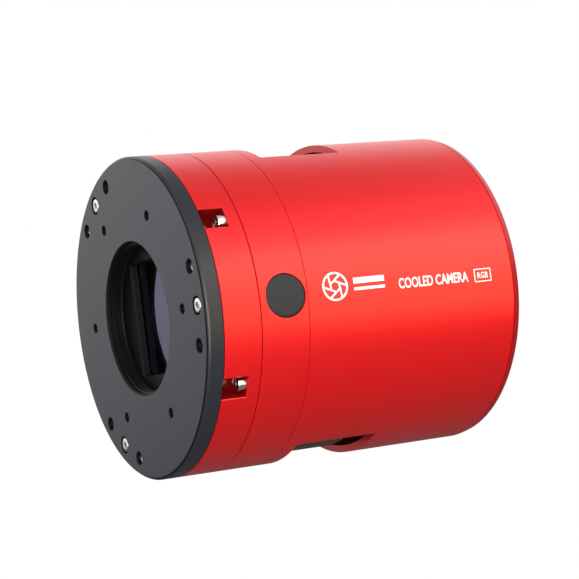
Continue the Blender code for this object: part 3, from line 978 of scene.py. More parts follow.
@dataclass
class SetScrew:
    """Headless screw along Y with its socket towards -Y."""

    y0: float
    y1: float
    r: float
    flat: float
    socket: float
    bevel: float = 0.2
    pitch: float = 0.5

    def shape(self) -> Object:
        """Build one screw at the origin.

        Returns:
            The screw without a material.
        """
        y = self.y0
        profile: list[tuple[Radius, float]] = [
            (0.0, y + self.socket + 0.2),
            (hexagon(self.flat), y + self.socket),
            (hexagon(self.flat), y + 0.1),
            (hexagon(self.flat + 0.1), y),
            (self.r - self.bevel - 0.1, y),
            (self.r - self.bevel, y + 0.03),
            (self.r, y + self.bevel),
        ]
        start = y + self.bevel + 0.1
        profile += thread_rows(self.r, -0.2, self.pitch, start, self.y1 - 0.3, 5)
        profile += [(self.r * 0.8, self.y1), (0.0, self.y1)]
        return Shape().turn(profile, 48).done("set_screw", None, 35.0)


# --------------------------------------------------------------------------- tilt plate


@dataclass
class TiltPlate:
    """Black front plate with its thread, screws and accessory holes."""

    radius: float = BODY_R
    thick: float = 4.84
    chamfer: float = 0.8
    thread_r: float = 20.6
    mouth_r: float = 21.7
    small_circle: float = 31.0
    smalls: tuple[float, ...] = (0.0, 60.0, 120.0, 180.0, 240.0, 300.0)
    sides: tuple[float, ...] = tuple(a + side for a in PULLS for side in (-SIDE_TURN, SIDE_TURN))

    def build(self, looks: Finishes, copies: CopyTree) -> None:
        """Build the plate and its screws.

        Args:
            looks: finishes.
            copies: tree that places the screws.
        """
        plate = self.blank(looks)
        self.drill(plate, copies)
        self.darken(plate, looks)
        true_round(plate, (self.radius,))
        fit(plate, Body.PLATE, "black_anodised", ["tilt_plate"])
        self.screws(looks, copies)

    def blank(self, looks: Finishes) -> Object:
        """Turn the plate with its bore thread.

        Args:
            looks: finishes.

        Returns:
            The plate before drilling.
        """
        r, t, c = self.radius, self.thick, self.chamfer
        profile: list[tuple[Radius, float]] = [
            (r - c - 0.06, 0.0),
            (r - c + 0.05, 0.06),
            (r - 0.42, 0.3),
            (r - 0.1, c - 0.1),
            (r, c + 0.1),
            (r, t - 0.2),
            (r - 0.16, t),
            (self.thread_r + 0.6, t),
        ]
        profile += thread_rows(self.thread_r + 0.02, 0.46, 0.75, t - 0.1, 1.45, 10)
        profile += [
            (self.thread_r + 0.62, 1.3),
            (self.thread_r + 0.62, 0.6),
            (self.mouth_r, 0.06),
            (self.mouth_r + 0.08, 0.0),
        ]
        return Shape().turn(profile, ROUND).done("tilt_plate_look", looks.black, RING_SMOOTH)

    def drill(self, plate: Object, copies: CopyTree) -> None:
        """Cut all holes of the plate.

        Args:
            plate: blank plate.
            copies: tree that places the cutters.
        """
        t = self.thick + 1
        bore = [(0.0, -1.0), (2.62, -1.0), (2.62, 0.0), (2.5, 0.14), (2.5, 2.55)]
        bore += [(1.35, 2.55), (1.35, t), (0.0, t)]
        drill_at(plate, copies, bore, 48, around(PULL_CIRCLE, PULLS), RING_SMOOTH)
        threaded: list[tuple[Radius, float]] = [(0.0, -1.0), (2.1, -1.0), (2.1, 0.0)]
        threaded += thread_rows(1.82, 0.18, 0.5, 0.25, self.thick - 0.1, 6)
        threaded += [(1.9, t), (0.0, t)]
        drill_at(plate, copies, threaded, 36, around(PULL_CIRCLE, self.sides), RING_SMOOTH)
        small: list[tuple[Radius, float]] = [(0.0, -1.0), (1.52, -1.0), (1.52, 0.0)]
        small += thread_rows(1.27, 0.13, 0.5, 0.22, 3.2, 6)
        small += [(0.3, 3.9), (0.0, 3.9)]
        drill_at(plate, copies, small, 32, around(self.small_circle, self.smalls), RING_SMOOTH)

    def darken(self, plate: Object, looks: Finishes) -> None:
        """Paint near-black shade on the insides of the bore and the holes and on the front chamfer."""
        holes = [(polar(PULL_CIRCLE, a), 2.55) for a in PULLS]
        holes += [(polar(PULL_CIRCLE, a), 2.2) for a in self.sides]
        holes += [(polar(self.small_circle, a), 1.6) for a in self.smalls]

        def inside(centre: Vector, normal: Vector) -> bool:
            """True for a face that gets painted shade: inside the bore or a hole, or on the front chamfer.
            """
            if normal.y > 0.9 or centre.y < 0.03:
                return False
            # The inner part of the front chamfer gets painted shade as a dark edge line.
            if math.hypot(centre.x, centre.z) > self.radius - self.chamfer and centre.y < self.chamfer:
                return -0.95 < normal.y < -0.3 and centre.y < 0.3
            if math.hypot(centre.x, centre.z) < self.mouth_r - 0.1:
                return True
            return any(math.hypot(centre.x - x, centre.z - z) < r for (x, z), r in holes)

        # Painted shade: the chosen faces get the near-black material.
        repaint(plate, looks.black_and_shade, inside)

    def screws(self, looks: Finishes, copies: CopyTree) -> None:
        """Place the pull, push and lock screws.

        Args:
            looks: finishes.
            copies: tree that places them.
        """
        end = self.thick - 0.2
        pull = CapScrew(0.2, 2.0, 2.0, 1.0, 9.0, 0.78, 1.2)
        push = SetScrew(1.0, end, 1.78, 0.85, 1.5, 0.42)
        lock = SetScrew(2.3, end, 1.78, 0.75, 1.3)
        for stem, screw, turn, mat, slot in (
            ("pull_screw", pull, 0.0, looks.steel, "bright_steel"),
            ("push_screw", push, SIDE_TURN, looks.steel, "bright_steel"),
            ("lock_screw", lock, -SIDE_TURN, looks.dark_steel, "black_anodised"),
        ):
            points = around(PULL_CIRCLE, [a + turn for a in PULLS])
            ob = copies.spread(f"{stem}s_look", screw.shape(), points, mat)
            fit(ob, Body.PLATE, slot, numbered(stem, 3))


# --------------------------------------------------------------------------- red shells


@dataclass
class FrontRing:
    """Red ring with six open slots and the screws that stand in them."""

    radius: float = BODY_R
    y0: float = 5.0
    y1: float = 15.77
    slots: tuple[float, ...] = (30.0, 90.0, 150.0, 210.0, 270.0, 330.0)
    slot_w: float = 6.1
    slot_end: float = 12.2
    slot_floor: float = 38.4
    screw_circle: float = 42.5

    def build(self, looks: Finishes, copies: CopyTree) -> None:
        """Build the ring and its six screws.

        Args:
            looks: finishes.
            copies: tree that places the screws.
        """
        r, y0, y1 = self.radius, self.y0, self.y1
        profile = [
            (r - 0.14, y0),
            (r, y0 + 0.14),
            (r, y1 - 0.1),
            (r - 0.1, y1),
            (35.9, y1),
            (35.9, 14.4),
            (34.1, 14.4),
            (34.1, y1),
            (20.8, y1),
            (20.8, 11.7),
            (27.5, 11.7),
            (27.5, 7.7),
            (29.3, 7.7),
            (29.3, y0),
        ]
        ring = Shape().turn(profile, ROUND).done("front_ring_look", looks.red, RING_SMOOTH)
        tool = Shape()
        for a in self.slots:
            self.slot_cutter(tool, a)
        combine(ring, tool, Way.CUT, RING_SMOOTH)
        tool = Shape()
        for a in self.slots:
            self.flare_cutter(tool, a)
        combine(ring, tool, Way.CUT, RING_SMOOTH)
        tool = Shape()
        for a in self.slots:
            tool.rod(1.5, 11.5, 17.0, 24, at(*polar(self.screw_circle, a)))
        for a in PULLS:
            tool.rod(1.3, 4.0, 10.0, 24, at(*polar(PULL_CIRCLE, a)))
        combine(ring, tool, Way.CUT, RING_SMOOTH)
        true_round(ring, (self.radius,))

        def in_slot(centre: Vector, _normal: Vector) -> bool:
            """True for a face inside a slot."""
            return 37.0 <= math.hypot(centre.x, centre.z) < 44.7 and centre.y < self.slot_end + 0.1

        def hidden(centre: Vector, _normal: Vector) -> bool:
            """True for a face deep inside, near the light path, which gets near-black painted shade."""
            return math.hypot(centre.x, centre.z) < 37.0

        # Painted shade: a darker red inside the slots and near-black deep inside the ring.
        repaint(ring, looks.slot_shade_red, in_slot)
        repaint(ring, looks.black_and_shade, hidden)
        fit(ring, Body.CAMERA, "red_anodised", ["front_ring"])
        screw = CapScrew(9.75, 2.4, 2.2, 1.15, 21.5, 0.95, 1.3, 0.45).shape()
        points = around(self.screw_circle, self.slots)
        ob = copies.spread("ring_screws_look", screw, points, looks.steel)
        fit(ob, Body.CAMERA, "bright_steel", numbered("ring_screw", 6))

    def slot_cutter(self, tool: Shape, degrees: float) -> None:
        """Add the main cutter of one slot, whose inner end is round.

        Args:
            tool: shape that takes the cutter.
            degrees: place of the slot.
        """
        h = self.slot_w / 2
        line = [(48.0, h)]
        for k in range(17):
            a = math.radians(90.0 + 11.25 * k)
            line.append((self.slot_floor + h + h * math.cos(a), h * math.sin(a)))
        line.append((48.0, -h))
        tool.prism([(line, 3.0), (line, self.slot_end)], degrees)

    def flare_cutter(self, tool: Shape, degrees: float) -> None:
        """Add the cutter that chamfers the outer edges of one slot."""
        h, e = self.slot_w / 2, self.slot_end
        edge = math.sqrt(self.radius**2 - h**2)
        loops = []
        for x, out in ((edge - 0.16, 0.0), (edge + 1.34, 1.5)):
            line = [(3.0, -h - out), (3.0, h + out), (e + out, h + out), (e + out, -h - out)]
            loops.append([spin(degrees) @ mm(x, y, z) for y, z in line])
        tool.loft(loops)


@dataclass
class MiddleRing:
    """Red ring round the sensor chamber with the drying plug's hole."""

    radius: float = BODY_R
    y0: float = 16.05
    y1: float = 30.12
    inner: float = 33.0
    plug_y: float = 23.65
    plug_r: float = 5.7

    def build(self, looks: Finishes) -> None:
        """Build the ring, plug, seal and tablet.

        Args:
            looks: finishes.
        """
        r, y0, y1 = self.radius, self.y0, self.y1
        profile = [
            (r - 0.1, y0),
            (r, y0 + 0.1),
            (r, y1 - 0.08),
            (r - 0.08, y1),
            (self.inner, y1),
            (self.inner, y0),
        ]
        ring = Shape().turn(profile, ROUND).done("middle_ring_look", looks.red, RING_SMOOTH)
        hole = [(0.0, 31.0), (4.9, 31.0), (4.9, 39.4), (5.93, 39.4), (5.93, 47.0), (0.0, 47.0)]
        tool = Shape().turn(hole, 96, along_x(self.plug_y))
        for a in FrontRing.slots:
            tool.rod(1.5, 15.0, 23.0, 24, at(*polar(FrontRing.screw_circle, a)))
        combine(ring, tool, Way.CUT, RING_SMOOTH)
        true_round(ring, (self.radius,))
        fit(ring, Body.CAMERA, "red_anodised", ["middle_ring"])
        self.plug(looks)

    def plug(self, looks: Finishes) -> None:
        """Build the drying plug, whose face follows the ring's curve.

        Args:
            looks: finishes.
        """
        r = self.plug_r
        place = along_x(self.plug_y)
        profile: list[tuple[Radius, float]] = [(0.0, 44.96)]
        profile += [(r * k / 10 * 0.965, 44.96) for k in range(1, 11)]
        profile += [(r - 0.05, 44.87), (r, 44.7), (r, 41.0), (4.5, 41.0), (4.5, 33.2)]
        profile += [(3.9, 33.2), (3.9, 37.9), (0.0, 37.9)]
        plug = Shape().turn(profile, 96, place).done("drying_plug_look", looks.plug, 40.0)
        for v in plug.data.vertices:
            if v.co.x > 43.0 * MM:
                v.co.x += math.sqrt((self.radius * MM) ** 2 - v.co.z**2) - self.radius * MM
        fit(plug, Body.PLUG, "plug_black", ["drying_plug"])
        circle = [(5.2 + 0.53 * math.cos(a), 40.15 + 0.53 * math.sin(a)) for a in full_turn(16)]
        seal = Shape().turn(circle, 64, place).done("plug_seal_look", looks.rubber, 60.0)
        fit(seal, Body.PLUG, "seal_rubber", ["plug_seal"])
        pill = [(0.0, 33.4), (3.1, 33.4), (3.5, 33.6), (3.6, 34.0), (3.6, 37.3), (3.3, 37.6), (0.0, 37.6)]
        tablet = Shape().turn(pill, 64, place).done("drying_tablet_look", looks.desiccant)
        fit(tablet, Body.PLUG, "desiccant", ["drying_tablet"])


@dataclass
class Barrel:
    """Thin red barrel with two vent windows and plain white marks."""

    radius: float = BODY_R
    inner: float = 43.0
    y0: float = 30.28
    y1: float = 98.0
    window: tuple[float, float] = (34.1, 59.4)
    half_angle: float = 27.1
    corner: float = 0.6
    iris: tuple[float, float] = (38.7, 1.0)

    def build(self, looks: Finishes) -> None:
        """Build the barrel and its marks.

        Args:
            looks: finishes.
        """
        r, y0, y1 = self.radius, self.y0, self.y1
        profile = [
            (r - 0.08, y0),
            (r, y0 + 0.08),
            (r, 95.52),
            (r - 0.35, 95.6),
            (r - 0.35, 95.78),
            (r - 0.04, 95.84),
            (r - 0.5, y1 - 0.5),
            (r - 0.6, y1 - 0.35),
            (r - 0.9, y1 - 0.05),
            (r - 1.0, y1),
            (self.inner + 0.3, y1),
            (self.inner, y1 - 0.3),
            (self.inner, y0),
        ]
        barrel = Shape().turn(profile, 360).done("main_barrel_look", looks.red, RING_SMOOTH)
        lugs = Shape()
        cut = Shape()
        line = round_rect(8.6, 7.0, 1.6, 5, 39.6, 0.0)
        for a in COVER_SCREWS:
            lugs.prism([(line, 84.0), (line, 94.0)], a)
            cut.rod(1.45, 86.0, 95.0, 24, at(*polar(COVER_CIRCLE, a)))
        combine(barrel, lugs, Way.JOIN, RING_SMOOTH)
        half = r * math.sin(math.radians(self.half_angle))
        mid, length = (self.window[0] + self.window[1]) / 2, self.window[1] - self.window[0]
        line = round_rect(2 * half, length, self.corner, 10, 0.0, mid)
        for z0, z1 in ((30.0, 50.0), (-50.0, -30.0)):
            cut.loft([[mm(x, y, z) for x, y in line] for z in (z0, z1)])
        combine(barrel, cut, Way.CUT, RING_SMOOTH)
        true_round(barrel, (self.radius, self.inner))

        def shaded_wall(centre: Vector, _normal: Vector) -> bool:
            """True for a wall of a vent window or the rear edge."""
            if centre.y > 95.8:
                return True
            across = abs(centre.x) < half + 0.2 and abs(centre.z) > 38.0
            along = abs(centre.y - mid) < length / 2 + 0.1
            return across and along and math.hypot(centre.x, centre.z) < r - 0.05

        # Painted shade: a darker red on the vent window walls and the rear edge strip.
        repaint(barrel, looks.wall_shade_red, shaded_wall)
        fit(barrel, Body.CAMERA, "red_anodised", ["main_barrel"])
        self.marks(looks)

    def marks(self, looks: Finishes) -> None:
        """Add plain white printed marks: an iris sign, two bars, words and a frame.

        Args:
            looks: finishes.
        """
        shape = Shape()
        y, s = self.iris
        self.print_ring(shape, y, s, 3.9, 3.35)
        for a0 in full_turn(6):
            a1 = a0 + math.radians(100.0)
            p = (y + 3.5 * math.cos(a0), s + 3.5 * math.sin(a0))
            q = (y + 1.6 * math.cos(a1), s + 1.6 * math.sin(a1))
            self.print_bar(shape, p, q, 0.25)
        self.print_bar(shape, (44.4, 2.0), (54.0, 2.0), 0.8)
        self.print_bar(shape, (44.4, -0.2), (54.0, -0.2), 0.4)
        self.print_words(shape, "COOLED CAMERA", (58.4, 80.9), (-1.45, 1.45), 0.02)
        self.print_frame(shape, 83.1, 88.4, -1.7, 1.7, 0.14)
        self.print_words(shape, "RGB", (84.0, 87.5), (-0.85, 0.85), 0.015)
        fit(shape.done("barrel_marks", looks.mark), Body.CAMERA, "red_anodised", [])

    def wrap(self, y: float, s: float, lift: float) -> Vector:
        """Point on the barrel at +X: y along it, s round it, lift above it, mm."""
        a = s / self.radius
        r = (self.radius + lift) * MM
        return Vector((r * math.cos(a), y * MM, r * math.sin(a)))

    def print_quad(self, shape: Shape, points: Sequence[tuple[float, float]]) -> None:
        """Add one thin raised patch over four (y, s) corners."""
        shape.loft([[self.wrap(y, s, lift) for y, s in points] for lift in (-0.02, 0.012)])

    def print_bar(self, shape: Shape, p: tuple[float, float], q: tuple[float, float], half: float) -> None:
        """Add a straight bar from p to q with the given half width."""
        d = Vector(q) - Vector(p)
        n = Vector((-d.y, d.x)).normalized() * half
        count = max(1, int(d.length))
        for i in range(count):
            a = Vector(p) + d * (i / count)
            b = Vector(p) + d * ((i + 1) / count)
            self.print_quad(shape, [tuple(a - n), tuple(b - n), tuple(b + n), tuple(a + n)])

    def print_ring(self, shape: Shape, y: float, s: float, outer: float, inner: float) -> None:
        """Add a thin ring about (y, s)."""
        angles = full_turn(48)
        for i, a in enumerate(angles):
            b = angles[(i + 1) % len(angles)]
            quad = []
            for r, t in ((inner, a), (outer, a), (outer, b), (inner, b)):
                quad.append((y + r * math.cos(t), s + r * math.sin(t)))
            self.print_quad(shape, quad)

    def print_words(
        self,
        shape: Shape,
        words: str,
        span: tuple[float, float],
        rise: tuple[float, float],
        weight: float,
    ) -> None:
        """Add plain words that follow the barrel.

        Args:
            shape: shape that takes the letters.
            words: plain capital letters.
            span: first and last y, mm.
            rise: lowest and highest place round the barrel, mm.
            weight: how much the strokes are widened, as a share of the letter size.
        """
        curve = bpy.data.curves.new("words", "FONT")
        curve.body = words
        curve.offset = weight
        curve.resolution_u = 3
        ob = bpy.data.objects.new("words", curve)
        bpy.context.scene.collection.objects.link(ob)
        graph = bpy.context.evaluated_depsgraph_get()
        mesh = bpy.data.meshes.new_from_object(ob.evaluated_get(graph))
        bpy.data.objects.remove(ob, do_unlink=True)
        bm = bmesh.new()
        bm.from_mesh(mesh)
        bpy.data.meshes.remove(mesh)
        left, right = min(v.co.x for v in bm.verts), max(v.co.x for v in bm.verts)
        low, high = min(v.co.y for v in bm.verts), max(v.co.y for v in bm.verts)
        for k in range(1, 6):
            level = low + (high - low) * k / 6
            geom = bm.verts[:] + bm.edges[:] + bm.faces[:]
            bmesh.ops.bisect_plane(bm, geom=geom, plane_co=(0, level, 0), plane_no=(0, 1, 0))
        along = (span[1] - span[0]) / (right - left)
        up = (rise[1] - rise[0]) / (high - low)
        for face in bm.faces:
            points = []
            for v in face.verts:
                points.append((span[0] + (v.co.x - left) * along, rise[0] + (v.co.y - low) * up))
            self.print_quad(shape, points)
        bm.free()

    def print_frame(self, shape: Shape, y0: float, y1: float, s0: float, s1: float, half: float) -> None:
        """Add a rectangular outline."""
        line = rect(y0, y1, s0, s1)
        for i, p in enumerate(line):
            self.print_bar(shape, p, line[(i + 1) % 4], half)


# ------------------------------------------------------------------------------- throat


@dataclass
class Throat:
    """Bezel, chamber window and the sensor stack behind it."""

    bezel_r: float = 29.0
    y0: float = 5.3
    thick: float = 2.1
    aperture: tuple[float, float] = (24.6, 31.8)
    glass_r: float = 24.0
    glass_y: float = 7.7

    def build(self, looks: Finishes) -> None:
        """Build the bezel, window and sensor pieces.

        Args:
            looks: finishes.
        """
        r, y0, y1 = self.bezel_r, self.y0, self.y0 + self.thick
        profile = [(0.0, y0), (r - 0.15, y0), (r, y0 + 0.15), (r, y1), (0.0, y1)]
        # The bezel gets the near-black: its own black anodising with painted shade over it.
        bezel = Shape().turn(profile, 144).done("window_bezel_look", looks.black_and_shade)
        w, h = self.aperture
        line = round_rect(w, h, 0.8, 6)
        wide = round_rect(w + 0.9, h + 0.9, 1.25, 6)
        tool = Shape().prism([(wide, y0 - 1), (wide, y0), (line, y0 + 0.45), (line, y1 + 1)])
        combine(bezel, tool, Way.CUT)
        fit(bezel, Body.CAMERA, "black_anodised", ["window_bezel"])
        g0, g1, g = self.glass_y, self.glass_y + 2.0, self.glass_r
        profile = [(0.0, g0), (g - 0.2, g0), (g, g0 + 0.2), (g, g1 - 0.2), (g - 0.2, g1), (0.0, g1)]
        glass = Shape().turn(profile, 144).done("chamber_window_look", looks.window)
        fit(glass, Body.CAMERA, "window_glass", ["chamber_window"])
        self.package(looks)

    def package(self, looks: Finishes) -> None:
        """Build the sensor package with its gold contact row."""
        line = round_rect(27.0, 34.0, 0.8, 4)
        box = Shape().plate(line, 17.0, 20.3, 0.15).done("sensor_package_look", looks.package)
        well = rect(-10.5, 10.5, -14.0, 14.0)
        tool = Shape().prism([(well, 16.0), (well, 18.3)])
        combine(box, tool, Way.CUT)
        pads = Shape()
        for k in range(24):
            z = -12.0 + k * 24.0 / 23
            for x in (-9.4, 9.4):
                pad = rect(x - 0.5, x + 0.5, z - 0.22, z + 0.22)
                pads.prism([(pad, 18.2), (pad, 18.36)])
        gold = pads.done("pads", looks.gold)
        fit(merge("sensor_package_set", [box, gold]), Body.CAMERA, "sensor_package", ["sensor_package"])


# ---------------------------------------------------------------------- cooling section


@dataclass
class HeatSink:
    """Round base with straight fins, seen through the vent windows."""

    radius: float = 42.4
    y0: float = 31.2
    base: float = 3.8
    y1: float = 53.8
    pitch: float = 3.5
    fin: float = 1.2

    def build(self, looks: Finishes, copies: CopyTree) -> None:
        """Build the sink.

        Args:
            looks: finishes.
            copies: tree that places the fin gaps.
        """
        r, y0, y1 = self.radius, self.y0, self.y1
        profile = [(0.0, y0), (r - 0.3, y0), (r, y0 + 0.3), (r, y1 - 0.2), (r - 0.2, y1), (0.0, y1)]
        sink = Shape().turn(profile, 216).done("heat_sink_look", looks.sink)
        gap = self.pitch - self.fin
        top = y1 + 1.0
        line = []
        foot = y0 + self.base
        for k in range(7):
            a = math.pi * k / 6
            line.append((-gap / 2 * math.cos(a), foot + gap / 2 - gap / 2 * math.sin(a)))
        line += [(gap / 2, top), (-gap / 2, top)]
        tool = Shape()
        tool.loft([[mm(x, y, z) for x, y in line] for z in (-50.0, 50.0)])
        count = int(2 * r / self.pitch)
        points = [((k - (count - 1) / 2) * self.pitch, 0.0, 0.0) for k in range(count)]
        cut = copies.spread("cut", tool.done("tool", None), points, None)
        combine(sink, cut, Way.CUT)
        hole = [(0.0, 35.0), (3.3, 35.0), (3.3, 55.0), (0.0, 55.0)]
        drill_at(sink, copies, hole, 36, corners(Fan.hole))
        fit(sink, Body.CAMERA, "sink_black", ["heat_sink"])


@dataclass
class Fan:
    """Square fan with its rotor, spacers and screws."""

    y0: float = 60.0
    y1: float = 75.0
    size: float = 60.0
    bore: float = 28.5
    hole: float = 25.0
    hub: float = 11.0
    blades: int = 7

    def build(self, looks: Finishes, copies: CopyTree) -> None:
        """Build the housing, rotor, spacers and screws.

        Args:
            looks: finishes.
            copies: tree that places the fasteners.
        """
        self.housing(looks)
        self.rotor(looks)
        points = corners(self.hole)
        six = [(0.0, 35.3), (hexagon(2.3), 35.3), (hexagon(2.5), 35.6), (hexagon(2.5), 59.4)]
        six += [(hexagon(2.3), 59.7), (0.0, 59.7)]
        spacer = Shape().turn(six, 48).done("spacer", None, 20.0)
        ob = copies.spread("fan_spacers_look", spacer, points, looks.shell, angle=20.0)
        fit(ob, Body.CAMERA, "socket_shell", numbered("fan_spacer", 4))
        head: list[tuple[Radius, float]] = [
            (0.0, 77.0),
            (hexagon(0.9), 77.0),
            (hexagon(0.9), 77.62),
            (2.0, 77.7),
            (2.5, 77.45),
            (2.7, 76.9),
            (2.7, 75.3),
            (1.5, 75.3),
        ]
        head += thread_rows(1.5, -0.22, 0.5, 75.0, 60.6, 4)
        head += [(1.1, 60.1), (0.0, 60.1)]
        screw = Shape().turn(head, 48).done("screw", None, 35.0)
        ob = copies.spread("fan_screws_look", screw, points, looks.steel)
        fit(ob, Body.CAMERA, "bright_steel", numbered("fan_screw", 4))

    def housing(self, looks: Finishes) -> None:
        """Build the square housing with flared bore, struts and motor seat."""
        y0, y1 = self.y0, self.y1
        line = round_rect(self.size, self.size, 4.0, 8)
        frame = Shape().plate(line, y0, y1, 0.4).done("fan_housing_look", looks.fan)
        flare = [(0.0, y0 - 1), (30.0, y0 - 1), (29.2, y0 + 0.5), (self.bore, y0 + 2.5)]
        flare += [(self.bore, y1 - 2.5), (29.2, y1 - 0.5), (30.0, y1 + 1), (0.0, y1 + 1)]
        combine(frame, Shape().turn(flare, 144), Way.CUT)
        waist = Shape()
        struts = Shape()
        side = rect(29.2, 31.0, -17.0, 17.0)
        strut = rect(9.0, 29.0, y1 - 1.8, y1 - 0.4)
        for a in (0.0, 90.0, 180.0, 270.0):
            waist.prism([(side, y0 + 3.0), (side, y1 - 3.0)], a)
            struts.loft([[spin(a + 20.0) @ mm(x, y, z) for x, y in strut] for z in (-1.3, 1.3)])
        combine(frame, waist, Way.CUT)
        holes = Shape()
        for x, _, z in corners(self.hole):
            holes.rod(2.15, y0 - 1, y1 + 1, 32, at(x, z))
        combine(frame, holes, Way.CUT)
        combine(frame, struts, Way.JOIN)
        seat = [(0.0, y1 - 2.0), (11.3, y1 - 2.0), (11.5, y1 - 1.8), (11.5, y1 - 0.3), (11.2, y1), (0.0, y1)]
        combine(frame, Shape().turn(seat, 72), Way.JOIN)
        fit(frame, Body.CAMERA, "fan_plastic", ["fan_housing"])

    def rotor(self, looks: Finishes) -> None:
        """Build the hub with swept, twisted blades."""
        cap = [(0.0, 61.2), (9.6, 61.2), (10.6, 61.6), (11.0, 62.6), (11.0, 72.5), (0.0, 72.5)]
        hub = Shape().turn(cap, 96).done("fan_rotor_look", looks.fan)
        ring = [(7.4, 60.9), (7.6, 60.9), (7.6, 61.4), (7.4, 61.4)]
        combine(hub, Shape().turn(ring, 96), Way.CUT)
        blades = Shape()
        for k in range(self.blades):
            self.blade(blades, 360.0 * k / self.blades)
        combine(hub, blades, Way.JOIN, 40.0)
        fit(hub, Body.ROTOR, "fan_plastic", ["fan_rotor"])

    def blade(self, shape: Shape, degrees: float) -> None:
        """Add one aerofoil blade.

        Args:
            shape: shape that takes the blade.
            degrees: place of its root.
        """
        loops = []
        for i in range(9):
            part = i / 8
            r = 10.2 + part * 17.2
            sweep = math.radians(degrees + part * 17.0)
            pitch = math.radians(50.0 - 18.0 * part)
            chord = 12.4 + 1.6 * part
            loop = []
            for a in full_turn(20):
                u = 0.5 * chord * math.cos(a)
                v = 0.62 * math.sin(a) * (1.0 - 0.45 * math.cos(a)) + 0.9 * (1 - (2 * u / chord) ** 2)
                y = 66.9 + u * math.sin(pitch) * 0.72 + v * math.cos(pitch) * 0.72
                t = u * math.cos(pitch) - v * math.sin(pitch)
                ang = sweep + t / r
                loop.append(mm(r * math.cos(ang), y, r * math.sin(ang)))
            loops.append(loop)
        shape.loft(loops)


# --------------------------------------------------------------------------- rear parts


